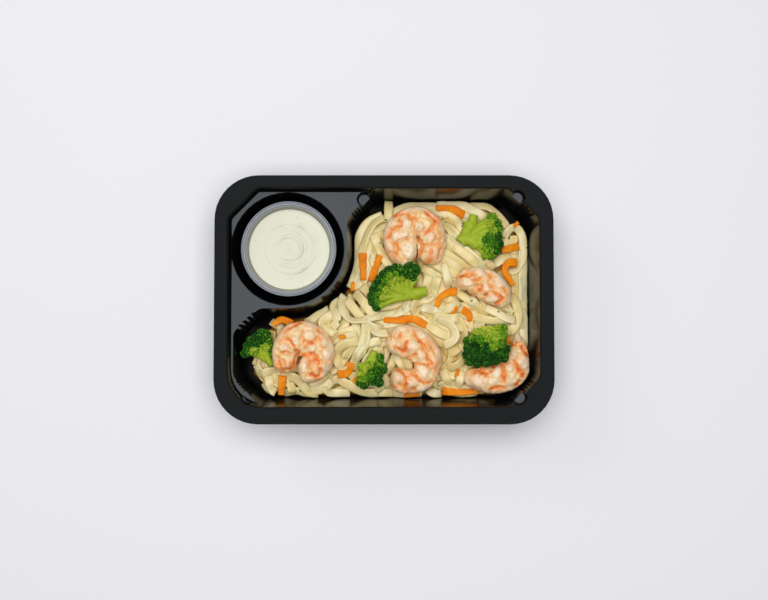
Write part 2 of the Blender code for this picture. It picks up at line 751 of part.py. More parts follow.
def make_heap_core(parts, guides, material):
    """The bulk of the noodles: it fills the compartment's foot and has an uneven top."""
    outline = main_outline(wall_inset(HEAP_EDGE_Z) + HEAP_CLEARANCE, ribbed=False)
    columns = round((OPENING_RIGHT - OPENING_LEFT) / HEAP_CELL)
    rows = round((OPENING_BACK - OPENING_FRONT) / HEAP_CELL)
    shape = bmesh.new()
    bmesh.ops.create_grid(shape, x_segments=columns, y_segments=rows, size=0.5)
    for vertex in shape.verts:
        vertex.co.x = 0.5 * (OPENING_LEFT + OPENING_RIGHT) + vertex.co.x * (OPENING_RIGHT - OPENING_LEFT)
        vertex.co.y = 0.5 * (OPENING_BACK + OPENING_FRONT) + vertex.co.y * (OPENING_BACK - OPENING_FRONT)
        vertex.co.z = heap_height(vertex.co.x, vertex.co.y, outline)
    bmesh.ops.triangulate(shape, faces=shape.faces, quad_method="SHORT_EDGE")
    rim = [edge for edge in shape.edges if edge.is_boundary]
    skirt = bmesh.ops.extrude_edge_only(shape, edges=rim)["geom"]
    lower = [item for item in skirt if isinstance(item, bmesh.types.BMVert)]
    for vertex in lower:
        vertex.co.z = HEAP_BOTTOM_Z - 2.0 * MM
    floor = [edge for edge in shape.edges if edge.is_boundary]
    bmesh.ops.contextual_create(shape, geom=floor)
    terrain = as_guide(object_from_bmesh("heap_terrain", shape, guides))

    def level(z):
        return z, main_outline(wall_inset(z) + HEAP_CLEARANCE, ribbed=False)
    core = loft("noodles", [level(HEAP_BOTTOM_Z), level(3.0 * MM), level(TRAY_HEIGHT - 3.0 * MM)], parts)
    core.data.materials.append(material)
    add_boolean(core, "INTERSECT", terrain)
    apply_modifiers(core)
    return core


def noodle_path(draw, outline):
    """A strand's rule: it starts anywhere over the heap and wanders on gentle, changing bends."""
    while True:
        x = draw.uniform(OPENING_LEFT, OPENING_RIGHT)
        y = draw.uniform(OPENING_FRONT, OPENING_BACK)
        if distance_inside(x, y, outline) > 8.0 * MM:
            break
    heading = draw.uniform(0.0, 2 * math.pi)
    bend = draw.uniform(-0.25, 0.25)
    path = [(x, y)]
    for _ in range(26):
        x, y = path[-1]
        room = distance_inside(x + 12.0 * MM * math.cos(heading), y + 12.0 * MM * math.sin(heading), outline)
        if room < 5.0 * MM:
            bend = math.copysign(0.55, bend)
        else:
            bend = 0.75 * bend + draw.uniform(-0.16, 0.16)
        heading += bend
        path.append((x + NOODLE_STEP * math.cos(heading), y + NOODLE_STEP * math.sin(heading)))
    return path


def clear_stretch(path, core_tree, trees, outline, lift):
    """The longest run of a strand that stays off the walls and the toppings."""
    best, run = [], []
    reach = 0.5 * NOODLE_WIDTH + 2.0 * GAP
    for x, y in path + [(1.0, 1.0)]:
        hit = core_tree.ray_cast(Vector((x, y, 0.1)), Vector((0.0, 0.0, -1.0)))[0]
        clear = hit is not None and distance_inside(x, y, outline) > reach
        if clear:
            place = Vector((x, y, hit.z + lift))
            clear = all(tree.find_nearest(place, reach)[0] is None for tree in trees)
        if clear:
            run.append(tuple(place))
        else:
            best = max(best, run, key=len)
            run = []
    return best


def make_noodles(core, toppings, guides):
    """Lay strands over the heap, and join them to it in one solid."""
    draw = random.Random(SEED)
    strands = fresh_collection("Strands", hidden=True)
    half, thick = 0.5 * NOODLE_WIDTH, 0.5 * NOODLE_THICKNESS
    profile = profile_curve("noodle_profile", [
        (half, 0.0), (half - 0.6 * MM, thick), (-half + 0.6 * MM, thick),
        (-half, 0.0), (-half + 0.6 * MM, -thick), (half - 0.6 * MM, -thick)], guides)
    core_tree = surface_tree(core)[0]
    trees = [surface_tree(topping)[0] for topping in toppings]
    outline = main_outline(wall_inset(HEAP_EDGE_Z) + 0.5 * MM, ribbed=False)
    made = 0
    for _ in range(400):
        if made == NOODLE_COUNT:
            break
        lift = draw.uniform(0.1, 1.0) * NOODLE_THICKNESS
        path = clear_stretch(noodle_path(draw, outline), core_tree, trees, outline, lift)
        if len(path) < 6:
            continue
        made += 1
        wave = draw.uniform(0.0, 6.0)
        path = [(x, y, z + 0.35 * NOODLE_THICKNESS * math.sin(wave + 1.1 * i)) for i, (x, y, z) in enumerate(path)]
        as_guide(sweep(f"strand_{made}", path, profile, strands))
    add_boolean(core, "UNION", strands)
    apply_modifiers(core)
    remove_collection(strands)
    keep_largest(core)
    core.data.shade_smooth()
    core.data.set_sharp_from_angle(angle=math.radians(50.0))
    return core


def keep_largest(obj):
    """Drop loose scraps and fill sealed hollows, which a join can leave as separate shells."""
    shape = bmesh.new()
    shape.from_mesh(obj.data)
    shape.verts.ensure_lookup_table()
    left = set(shape.verts)
    shells = []
    while left:
        shell, edge = set(), [left.pop()]
        while edge:
            vertex = edge.pop()
            shell.add(vertex)
            for link in vertex.link_edges:
                other = link.other_vert(vertex)
                if other in left:
                    left.discard(other)
                    edge.append(other)
        shells.append(shell)
    shells.sort(key=len)
    scraps = [vertex for shell in shells[:-1] for vertex in shell]
    bmesh.ops.delete(shape, geom=scraps, context="VERTS")
    shape.to_mesh(obj.data)
    shape.free()
    return len(scraps)


# Shrimps
def shrimp_size(t, body):
    """The half-width along a peeled shrimp: a blunt head end, ridged segments and a thin tail."""
    keys = [(0.0, 0.30), (0.05, 0.80), (0.13, 1.0), (0.55, 1.0), (0.8, 0.80), (0.94, 0.56), (1.0, 0.22)]
    for (t1, s1), (t2, s2) in zip(keys, keys[1:]):
        if t <= t2:
            share = s1 + (s2 - s1) * (t - t1) / (t2 - t1)
            break
    ridge = 1.0 + 0.05 * math.cos(2 * math.pi * SHRIMP_RINGS * t)
    return body * share * ridge


def make_shrimp(name, profile, parts, material):
    """A curled, peeled shrimp, lying on its side."""
    x, y, long_radius, short_radius, turned_by, start, winding, body = SHRIMPS[name]
    steps = 20
    path, sizes = [], []
    turn = math.radians(turned_by)
    for k in range(steps + 1):
        t = k / steps
        t = 0.5 * (t + 0.5 * (1.0 - math.cos(math.pi * t)))
        angle = math.radians(start + winding * t)
        u, v = long_radius * math.cos(angle), short_radius * math.sin(angle)
        path.append(((x + u * math.cos(turn) - v * math.sin(turn)) * MM,
                     (y + u * math.sin(turn) + v * math.cos(turn)) * MM, 0.0))
        sizes.append(shrimp_size(t, body))
    return sweep(name, path, profile, parts, material, sizes)


# Broccoli
def make_floret(name, parts, material):
    """A floret: a crown of small lumps on a forked stem, joined in one solid."""
    x, y, half_length, half_width, stem_way, stem_length, stem_radius, lumps = FLORETS[name]
    draw = random.Random(name)
    pieces = fresh_collection(name + " pieces", hidden=True)
    way = math.radians(stem_way)
    stem = bmesh.new()
    ends = (stem_length + 0.3 * half_length) * MM
    bmesh.ops.create_cone(stem, cap_ends=True, segments=8, radius1=stem_radius * 1.5 * MM,
                          radius2=stem_radius * MM, depth=ends)
    lie_down = Matrix.Rotation(way, 4, "Z") @ Matrix.Rotation(math.radians(90.0), 4, "Y")
    middle = Vector((x * MM + 0.5 * stem_length * MM * math.cos(way),
                     y * MM + 0.5 * stem_length * MM * math.sin(way), 0.0))
    bmesh.ops.transform(stem, matrix=Matrix.Translation(middle) @ lie_down, verts=stem.verts)
    floret = object_from_bmesh(name, stem, parts, material, 40.0)
    for k in range(lumps):
        angle = way + math.radians(55.0 + (360.0 - 110.0) * (k + 0.5) / lumps) if stem_length > 12.0 else \
            2 * math.pi * k / lumps
        share = draw.uniform(0.52, 0.64)
        if k % 3 == 2:
            share = draw.uniform(0.1, 0.25)
        size = draw.uniform(0.42, 0.50) * 0.5 * (half_length + half_width) * MM
        lump = bmesh.new()
        bmesh.ops.create_icosphere(lump, subdivisions=1, radius=size)
        for vertex in lump.verts:
            vertex.co *= draw.uniform(0.92, 1.10)
        place = Vector((x * MM + share * half_length * MM * math.cos(angle),
                        y * MM + share * half_width * MM * math.sin(angle), draw.uniform(0.5, 2.5) * MM))
        bmesh.ops.translate(lump, verts=lump.verts, vec=place)
        as_guide(object_from_bmesh(f"{name}_lump_{k}", lump, pieces))
    add_boolean(floret, "UNION", pieces)
    apply_modifiers(floret)
    remove_collection(pieces)
    floret.data.transform(Matrix.Diagonal((1.0, 1.0, FLORET_FLATNESS, 1.0)))
    keep_largest(floret)
    floret.data.shade_smooth()
    return floret


# Carrots
def make_carrot(name, profile, supports, parts, material):
    """A cut strip of carrot, bent over what it lies on."""
    trees = [surface_tree(support)[0] for support in supports]
    path = []
    for x, y in smooth_path([(x * MM, y * MM) for x, y in CARROTS[name]], 5):
        hits = [tree.ray_cast(Vector((x, y, 0.1)), Vector((0.0, 0.0, -1.0)))[0] for tree in trees]
        path.append((x, y, max((hit.z for hit in hits if hit is not None), default=HEAP_EDGE_Z)))
    return sweep(name, path, profile, parts, material)


def make_meal():
    """Build the tray and everything in it."""
    for obj in list(bpy.data.objects):
        bpy.data.objects.remove(obj)
    parts = fresh_collection("Airline meal tray")
    guides = fresh_collection("Guides", hidden=True)
    make_cup(parts)
    make_dip(parts)

    noodle_colour = finish_material("cooked fettuccine", (0.75, 0.70, 0.47), 0.35)
    shrimp_colour = finish_material("cooked shrimp", (0.83, 0.50, 0.34), 0.3)
    broccoli_colour = finish_material("steamed broccoli", (0.06, 0.19, 0.02), 0.5)
    carrot_colour = finish_material("cooked carrot", (0.86, 0.22, 0.01), 0.35)
    core = make_heap_core(parts, guides, noodle_colour)
    toppings = []
    shrimp_profile = profile_curve("shrimp_profile", ellipse(2.0 * MM, 2.0 * SHRIMP_FLATNESS * MM, 9), guides)
    for name in SHRIMPS:
        toppings.append(lay_on(make_shrimp(name, shrimp_profile, parts, shrimp_colour), [core]))
    for name in FLORETS:
        toppings.append(lay_on(make_floret(name, parts, broccoli_colour), [core, *toppings]))
    half, thick = 0.5 * CARROT_WIDTH, 0.5 * CARROT_THICKNESS
    carrot_profile = profile_curve(
        "carrot_profile", [(half, thick), (-half, thick), (-half, -thick), (half, -thick)], guides)
    for name in CARROTS:
        strip = make_carrot(name, carrot_profile, [core, *toppings], parts, carrot_colour)
        toppings.append(lay_on(strip, [core, *toppings]))
    make_noodles(core, toppings, guides)
    make_tray(parts)


make_meal()
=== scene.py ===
# %% [markdown]
# An airline meal tray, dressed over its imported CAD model. The frame gives the size and place of every piece,
# so each step below starts from a node of the frame and gives it the surface that the real thing has.

# %% Load the frame
import math
import random

import bpy
import numpy as np
from mathutils import Matrix, Vector
from mathutils.bvhtree import BVHTree


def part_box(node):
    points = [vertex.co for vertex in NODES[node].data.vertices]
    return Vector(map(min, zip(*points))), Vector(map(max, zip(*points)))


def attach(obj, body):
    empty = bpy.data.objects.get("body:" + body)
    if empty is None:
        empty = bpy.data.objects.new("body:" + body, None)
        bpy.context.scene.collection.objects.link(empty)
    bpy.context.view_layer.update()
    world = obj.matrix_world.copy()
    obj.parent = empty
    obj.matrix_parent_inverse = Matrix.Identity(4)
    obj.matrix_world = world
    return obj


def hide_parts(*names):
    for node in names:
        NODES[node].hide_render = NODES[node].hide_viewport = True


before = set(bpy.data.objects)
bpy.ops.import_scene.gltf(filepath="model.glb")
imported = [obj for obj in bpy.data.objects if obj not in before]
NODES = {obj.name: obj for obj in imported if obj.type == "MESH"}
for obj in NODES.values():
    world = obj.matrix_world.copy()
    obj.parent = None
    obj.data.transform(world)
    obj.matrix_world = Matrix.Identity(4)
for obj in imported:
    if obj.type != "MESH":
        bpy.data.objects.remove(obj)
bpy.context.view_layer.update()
MM = 0.001
print("nodes in the frame:", len(NODES))

# %% [markdown]
# The camera looks almost straight down on the tray from 0.7 m, tilted by two and a half degrees, as the
# photograph was taken. The same numbers turn a place seen in the 768 x 600 picture into a place on the tray,
# so a pixel that was read off the picture can stand in this script for the place of a strand or a bud.

# %% Camera
AIM_Z = 40.0
DISTANCE = 700.0
TILT = math.radians(2.5)
PIXELS_PER_MM = 1.508
PICTURE_WIDTH, SENSOR_WIDTH = 768.0, 36.0
CENTRE_X, CENTRE_Y = 384.0, 300.1
CAMERA_Y, CAMERA_Z = -31.1, AIM_Z + DISTANCE * math.cos(TILT)
camera_data = bpy.data.cameras.new("camera")
camera_data.sensor_width = SENSOR_WIDTH
camera_data.lens = SENSOR_WIDTH * DISTANCE * PIXELS_PER_MM / PICTURE_WIDTH
camera = bpy.data.objects.new("camera", camera_data)
camera.location = (0.0, CAMERA_Y * MM, CAMERA_Z * MM)
camera.rotation_euler = (TILT, 0.0, 0.0)
bpy.context.scene.collection.objects.link(camera)
bpy.context.scene.camera = camera


def seen_at(px, py, z):
    """The place in metres, at height z in millimetres, of something seen at a pixel of the picture."""
    right = (px - CENTRE_X) / (DISTANCE * PIXELS_PER_MM)
    up = (CENTRE_Y - py) / (DISTANCE * PIXELS_PER_MM)
    ahead_y = math.sin(TILT) + up * math.cos(TILT)
    ahead_z = -math.cos(TILT) + up * math.sin(TILT)
    reach = (z - CAMERA_Z) / ahead_z
    return (reach * right * MM, (CAMERA_Y + reach * ahead_y) * MM)


def picture_of(points):
    """The pixels of the picture where some places, in metres, are seen."""
    offset = np.asarray(points) / MM - np.array([0.0, CAMERA_Y, CAMERA_Z])
    depth = offset[..., 1] * math.sin(TILT) - offset[..., 2] * math.cos(TILT)
    height = offset[..., 1] * math.cos(TILT) + offset[..., 2] * math.sin(TILT)
    scale = DISTANCE * PIXELS_PER_MM / depth
    return CENTRE_X + offset[..., 0] * scale, CENTRE_Y - height * scale


def near_line(px, py, line):
    """How far some pixels are from a line through a few pixels."""
    best = np.full(np.shape(px), 1e6)
    for (x1, y1), (x2, y2) in zip(line, line[1:] or line):
        length = (x2 - x1) ** 2 + (y2 - y1) ** 2 + 1e-9
        share = np.clip(((px - x1) * (x2 - x1) + (py - y1) * (y2 - y1)) / length, 0.0, 1.0)
        best = np.minimum(best, np.hypot(px - x1 - share * (x2 - x1), py - y1 - share * (y2 - y1)))
    return best


print("lens", round(camera_data.lens, 2), "mm")

# %% [markdown]
# Colours are written as the sRGB hex values that one reads off a picture, and Blender wants linear light, so
# one function turns them. Another sets or links one input of a node, and another adds a node with its
# settings. Food lets light in, so a last one says how much, how far each colour goes, and how deep.

# %% Helpers for finishes
bpy.context.scene.view_settings.view_transform = "Standard"


def colour(hex_value):
    """The linear colour of an sRGB hex value."""
    parts = [int(hex_value[i:i + 2], 16) / 255.0 for i in (1, 3, 5)]
    return tuple(c / 12.92 if c <= 0.04045 else ((c + 0.055) / 1.055) ** 2.4 for c in parts) + (1.0,)


def feed(finish, socket, value):
    """Feed an input of a node with an output, a hex colour or another value."""
    if isinstance(value, bpy.types.NodeSocket):
        finish.node_tree.links.new(value, socket)
    else:
        socket.default_value = colour(value) if isinstance(value, str) else value


def add_node(finish, kind, inputs=None, stops=None, **settings):
    """Add a node to a finish, with its settings, its colour stops, and its inputs set or linked."""
    node = finish.node_tree.nodes.new("ShaderNode" + kind)
    for name, value in settings.items():
        setattr(node, name, value)
    for name, value in (inputs or {}).items():
        feed(finish, node.inputs[name], value)
    if stops:
        ramp = node.color_ramp
        while len(ramp.elements) < len(stops):
            ramp.elements.new(0.5)
        for element, (place, hex_value) in zip(ramp.elements, stops):
            element.position = place
            element.color = colour(hex_value)
    return node


def set_shader(finish, **sockets):
    """Set or link sockets of a finish's Principled shader."""
    shader = finish.node_tree.nodes["Principled BSDF"]
    for name, value in sockets.items():
        feed(finish, shader.inputs[name.replace("_", " ")], value)


def new_finish(name, **sockets):
    """A Principled finish with some of its sockets set, and where its patterns are placed."""
    finish = bpy.data.materials.new(name)
    finish.use_nodes = True
    set_shader(finish, **sockets)
    return finish, add_node(finish, "TexCoord").outputs["Object"]


def let_light_in(finish, share, radii, depth):
    """Let a share of the light go into a finish, by colour, to a depth."""
    set_shader(finish, Subsurface_Weight=share, Subsurface_Radius=radii, Subsurface_Scale=depth)


# %% [markdown]
# Pieces are selected one at a time, because an operator acts on all that is selected.

# %% Helpers for shapes
MERGE_DISTANCE = 0.01 * MM
FLAT_ANGLE = 0.6


def pick(obj):
    """Make one object the only selected and active one."""
    bpy.ops.object.select_all(action="DESELECT")
    obj.hide_viewport = False
    obj.select_set(True)
    bpy.context.view_layer.objects.active = obj
    return obj


def apply_modifiers(obj):
    """Apply an object's modifiers in order."""
    pick(obj)
    for modifier in list(obj.modifiers):
        bpy.ops.object.modifier_apply(modifier=modifier.name)
    return obj


def mesh_object(name, points, faces, finish=None, smooth=True):
    """An object at the origin from points and faces."""
    mesh = bpy.data.meshes.new(name)
    mesh.from_pydata([tuple(p) for p in points], [], [tuple(f) for f in faces])
    if smooth:
        mesh.shade_smooth()
    if finish is not None:
        mesh.materials.append(finish)
    obj = bpy.data.objects.new(name, mesh)
    bpy.context.scene.collection.objects.link(obj)
    return obj


def add_values(obj, name, values):
    """Store one number for each point of a mesh, for its finish to read."""
    attribute = obj.data.attributes.new(name, "FLOAT", "POINT")
    attribute.data.foreach_set("value", np.asarray(values, dtype=np.float32))
    return obj


def join(name, pieces):
    """Join pieces into one object under one name."""
    pick(pieces[0])
    for piece in pieces:
        piece.select_set(True)
    bpy.ops.object.join()
    pieces[0].name = name
    pieces[0].data.name = name
    return pieces[0]


def merged_copy(node, name, angle):
    """A copy of a CAD node with its triangles merged, smooth up to an angle."""
    copy = bpy.data.objects.new(name, NODES[node].data.copy())
    bpy.context.scene.collection.objects.link(copy)
    pick(copy)
    bpy.ops.object.mode_set(mode="EDIT")
    bpy.ops.mesh.select_all(action="SELECT")
    bpy.ops.mesh.remove_doubles(threshold=MERGE_DISTANCE)
    bpy.ops.mesh.dissolve_limited(angle_limit=math.radians(FLAT_ANGLE))
    bpy.ops.object.mode_set(mode="OBJECT")
    bpy.ops.object.shade_smooth_by_angle(angle=math.radians(angle))
    return copy


def place_on_body(piece, slot, *nodes):
    """Let a piece ride on the tray's one body, and hide the nodes it stands for. The slot is not used."""
    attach(piece, "root")
    if nodes:
        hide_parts(*nodes)
    return piece


def smooth_noise(seed, count, low, high, roughness=1.0):
    """Even random values along a line that change smoothly, from low to high."""
    draw = np.random.default_rng(seed)
    knots = draw.uniform(low, high, max(4, int(count * roughness) + 2))
    places = np.linspace(0, len(knots) - 1.001, count)
    index = places.astype(int)
    share = places - index
    share = share * share * (3 - 2 * share)
    return knots[index] * (1 - share) + knots[index + 1] * share


def wobble(seed, u, v, scale):
    """A smooth random value in 0 to 1 for each pair of places."""
    draw = np.random.default_rng(seed)
    total = np.zeros_like(u)
    for _ in range(8):
        a, b = draw.normal(0.0, 1.0, 2) * scale
        total += np.sin(a * u + b * v + draw.uniform(0.0, 6.28))
    return np.clip(0.5 + total / 8.0, 0.0, 1.0)


# %% [markdown]
# Long food is swept: a cross-section is carried along a path, and every ring may roll and change its size.
# The rings are written as mesh code, because each one needs its own roll, and because their order tells the
# finish how far along and round the food a point lies.

# %% Sweeping
def sweep_frames(path):
    """Sideways and upward directions at each point of a path, with the path's own direction."""
    ahead = np.gradient(path, axis=0)
    ahead /= np.linalg.norm(ahead, axis=1)[:, None] + 1e-12
    side = np.cross(ahead, (0.0, 0.0, 1.0))
    side /= np.linalg.norm(side, axis=1)[:, None] + 1e-12
    return side, np.cross(side, ahead)


def swept(name, path, sections, rolls, finish):
    """Carry cross-sections (sideways, up) along a path. sections has one ring per point of the path."""
    path = np.asarray(path, dtype=float)
    side, up = sweep_frames(path)
    rings, around = sections.shape[:2]
    cos, sin = np.cos(rolls)[:, None], np.sin(rolls)[:, None]
    across = sections[:, :, 0] * cos - sections[:, :, 1] * sin
    above = sections[:, :, 0] * sin + sections[:, :, 1] * cos
    points = path[:, None, :] + across[:, :, None] * side[:, None, :] + above[:, :, None] * up[:, None, :]
    points = points.reshape(-1, 3)
    first = points[:around].mean(axis=0)
    last = points[-around:].mean(axis=0)
    points = np.vstack([points, first, last])
    faces = []
    for i in range(rings - 1):
        for k in range(around):
            a, b = i * around + k, i * around + (k + 1) % around
            faces.append((a, b, b + around, a + around))
    end, tail = rings * around, (rings - 1) * around
    for k in range(around):
        faces.append((end, (k + 1) % around, k))
        faces.append((end + 1, tail + k, tail + (k + 1) % around))
    return mesh_object(name, points, faces, finish)


def path_lengths(path):
    """How far along a path each of its points is."""
    steps = np.linalg.norm(np.diff(path, axis=0), axis=1)
    return np.concatenate([[0.0], np.cumsum(steps)])


def rounded_path(points, step):
    """A smooth path through a few places, read at even steps."""
    points = np.asarray(points, dtype=float)
    line = np.vstack([2 * points[0] - points[1], points, 2 * points[-1] - points[-2]])
    fine = []
    for i in range(len(points) - 1):
        p0, p1, p2, p3 = line[i:i + 4]
        for t in np.linspace(0.0, 1.0, 12, endpoint=False):
            fine.append(0.5 * (2 * p1 + (p2 - p0) * t + (2 * p0 - 5 * p1 + 4 * p2 - p3) * t ** 2
                               + (3 * p1 - p0 - 3 * p2 + p3) * t ** 3))
    fine = np.array(fine + [points[-1]])
    lengths = path_lengths(fine)
    count = max(4, int(round(lengths[-1] / step)) + 1)
    places = np.linspace(0.0, lengths[-1], count)
    return np.stack([np.interp(places, lengths, fine[:, k]) for k in range(fine.shape[1])], axis=1)


def rounded_strip(width, thickness, around, squareness=3.0):
    """A flat cross-section with rounded edges."""
    angles = np.linspace(0.0, 2 * math.pi, around, endpoint=False)
    across = np.sign(np.cos(angles)) * np.abs(np.cos(angles)) ** (2.0 / squareness)
    above = np.sign(np.sin(angles)) * np.abs(np.sin(angles)) ** (2.0 / squareness)
    return np.stack([0.5 * width * across, 0.5 * thickness * above], axis=1)


# %% [markdown]
# The tray is black polypropylene, vacuum-formed from one sheet. The flange is matt where it touched the
# mould's sandblasted edge, and the walls and the deck, which were stretched, are glossy.

# %% Tray finishes
# Hot sheet that is stretched over a mould keeps a soft, slightly uneven gloss, about 18 mm from wave to wave.
gloss_finish, place = new_finish("vacuum-formed black polypropylene", Base_Color="#0b0b0d", IOR=1.42,
                                 Specular_Tint=(0.86, 0.93, 1.0, 1.0))
stretch = add_node(gloss_finish, "TexNoise", {"Vector": place, "Scale": 55.0, "Detail": 1.0}).outputs["Fac"]
haze = add_node(gloss_finish, "MapRange", {"Value": stretch, "To Min": 0.16, "To Max": 0.26})
waviness = add_node(gloss_finish, "Bump", {"Height": stretch, "Strength": 0.08, "Distance": 0.4 * MM})
set_shader(gloss_finish, Roughness=haze.outputs["Result"], Normal=waviness.outputs["Normal"])

# The grit of the mould's edge, two thirds of a millimetre wide, scatters the light, so the flange looks flat
# grey. Real grit is finer, and is drawn this coarse so that it shows.
matt_finish, place = new_finish("sandblast-textured black polypropylene", Base_Color="#121617", Roughness=0.6,
                                IOR=1.49, Specular_IOR_Level=0.12)
grit = add_node(matt_finish, "TexNoise", {"Vector": place, "Scale": 1500.0, "Detail": 2.0})
texture = add_node(matt_finish, "Bump", {
    "Height": grit.outputs["Fac"], "Strength": 0.2, "Distance": 0.1 * MM})
set_shader(matt_finish, Normal=texture.outputs["Normal"])
print("finishes:", gloss_finish.name, "and", matt_finish.name)

# %% Tray
FLANGE_Z, FLANGE_TOP_Z = 37.0 * MM, 39.5 * MM
OPENING_LEFT, OPENING_RIGHT = -102.8 * MM, 104.2 * MM
OPENING_FRONT, OPENING_BACK = -72.0 * MM, 74.6 * MM
tray = merged_copy("tray", "tray_formed", 32.0)
tray.data.materials.clear()
tray.data.materials.append(gloss_finish)
tray.data.materials.append(matt_finish)
for face in tray.data.polygons:
    x, y, z = face.center
    beyond = x < OPENING_LEFT or x > OPENING_RIGHT or y > OPENING_BACK or y < OPENING_FRONT
    if z > FLANGE_Z and (beyond or face.normal.z > 0.9 and z > FLANGE_TOP_Z):
        face.material_index = 1
even = tray.modifiers.new("Weighted normals", "WEIGHTED_NORMAL")
even.keep_sharp = True
even.weight = 90
apply_modifiers(tray)
place_on_body(tray, "tray", "tray")
print("tray:", len(tray.data.polygons), "faces")

# %% [markdown]
# The cup is clear polypropylene, turned here from its section with many more steps than the CAD's. It is
# bluish and a little cloudy at its thick rim, where highlights and shade are painted on in rings.

# %% Portion cup
CUP_X, CUP_Y = -64.1 * MM, 34.3 * MM
RIM_RADIUS, RIM_Z = 32.1 * MM, 32.3 * MM
STEP_RADIUS = RIM_RADIUS - 2.9 * MM - 1.9 * MM
STEP_Z = RIM_Z - 5.3 * MM
CUP_WALL = 0.5 * MM
CUP_BASE_RADIUS, CUP_BASE_Z = 22.5 * MM, 4.1 * MM
CUP_FLOOR_Z = CUP_BASE_Z + CUP_WALL


def turned(name, profile, segments, finish):
    """Turn a closed section about the cup's axis."""
    mesh = bpy.data.meshes.new(name)
    count = len(profile)
    mesh.from_pydata([(r, 0.0, z) for r, z in profile], [(k, (k + 1) % count) for k in range(count)], [])
    obj = bpy.data.objects.new(name, mesh)
    bpy.context.scene.collection.objects.link(obj)
    screw = obj.modifiers.new("Screw", "SCREW")
    screw.steps = screw.render_steps = segments
    screw.use_merge_vertices = True
    screw.merge_threshold = MERGE_DISTANCE
    apply_modifiers(obj)
    bpy.ops.object.mode_set(mode="EDIT")
    bpy.ops.mesh.select_all(action="SELECT")
    bpy.ops.mesh.delete_loose()
    bpy.ops.mesh.select_all(action="SELECT")
    bpy.ops.mesh.remove_doubles(threshold=MERGE_DISTANCE)
    bpy.ops.mesh.normals_make_consistent(inside=False)
    bpy.ops.object.mode_set(mode="OBJECT")
    bpy.ops.object.shade_smooth_by_angle(angle=math.radians(40.0))
    obj.data.materials.append(finish)
    obj.data.transform(Matrix.Translation((CUP_X, CUP_Y, 0.0)))
    return obj


# Clear plastic shows what is behind it. Over the topmost 5 mm the colour changes with height, in bright and
# dark rings that are painted highlights and painted shade where the rim's folds gather or lose light; a smooth
# mould leaves it shiny.
cup_finish, place = new_finish("clear moulded polypropylene", Roughness=0.12, IOR=1.49,
                               Transmission_Weight=0.4)
parts = add_node(cup_finish, "SeparateXYZ", {"Vector": place})
up_rim = add_node(cup_finish, "MapRange", {
    "Value": parts.outputs["Z"], "From Min": RIM_Z - 5.0 * MM, "From Max": RIM_Z})
# Bright and dark rings by height: painted highlights and painted shade on the rim.
rim_painted_light = add_node(cup_finish, "ValToRGB", {"Fac": up_rim.outputs["Result"]}, stops=[
    (0.0, "#a9ab98"), (0.3, "#d6d8c8"), (0.5, "#74766a"), (0.62, "#d9dbd2"), (0.75, "#c5c8c6"),
    (0.84, "#8b92a0"), (0.93, "#7c8494"), (1.0, "#e4e8ec")])
set_shader(cup_finish, Base_Color=rim_painted_light.outputs["Color"])
# How far in from the rim's edge, and how far below its top, in millimetres.
RIM_PROFILE = [
    (-4.6, -4.6), (-3.9, -4.1), (-3.6, -1.7), (-3.3, -1.3), (-2.9, -1.2), (-2.6, -0.4), (-2.3, 0.0),
    (-1.9, -0.1), (-1.6, -0.55), (-0.9, -0.6), (-0.6, -0.15), (-0.35, -0.05), (-0.1, -0.3), (0.0, -0.8),
    (-0.1, -2.2), (-0.7, -2.2), (-0.9, -1.2), (-2.5, -1.6), (-3.2, -5.0)]
cup = turned("clear_portion_cup", [
    *((RIM_RADIUS + r * MM, RIM_Z + z * MM) for r, z in RIM_PROFILE),
    (STEP_RADIUS + CUP_WALL, RIM_Z - 5.6 * MM),
    (CUP_BASE_RADIUS + 0.6 * MM, CUP_BASE_Z + 0.8 * MM), (CUP_BASE_RADIUS, CUP_BASE_Z), (0.0, CUP_BASE_Z),
    (0.0, CUP_FLOOR_Z), (CUP_BASE_RADIUS, CUP_FLOOR_Z), (STEP_RADIUS, STEP_Z),
], 128, cup_finish)
place_on_body(cup, "portion_cup", "portion_cup")
print("cup:", len(cup.data.polygons), "faces")

# %% [markdown]
# The dip is a thick, pale yogurt-like sauce that was spooned in with a turn, which leaves a spiral of low
# ridges. A spiral is a wave that turns with the angle, so a formula over rings of points draws it. The dip
# reaches a little way into the cup's wall, so that no air shows between them.

# %% Dip surface
DIP_Z = 26.2 * MM
DIP_RINGS, DIP_STEPS = 64, 160
RIDGE_SPACING = 4.6 * MM
SMOOTH_EDGE, SWIRL_EDGE, WALL_EDGE = 0.2, 0.78, 0.95


def cup_inner_radius(z):
    """The radius of the cup's inner wall at a height below its step."""
    return CUP_BASE_RADIUS + (STEP_RADIUS - CUP_BASE_RADIUS) * (z - CUP_FLOOR_Z) / (STEP_Z - CUP_FLOOR_Z)


def dip_uneven(seed, spacing):
    """Smooth random values in 0 to 1 over the dip, that change over a distance."""
    return wobble(seed, radius * np.cos(turn) / spacing, radius * np.sin(turn) / spacing, 1.0)


def dip_ring(ring_radius, z):
    """The points of a ring about the cup's axis."""
    around = np.stack([ring_radius * np.cos(turns), ring_radius * np.sin(turns), np.zeros(DIP_STEPS)], axis=1)
    return around + (CUP_X, CUP_Y, z)


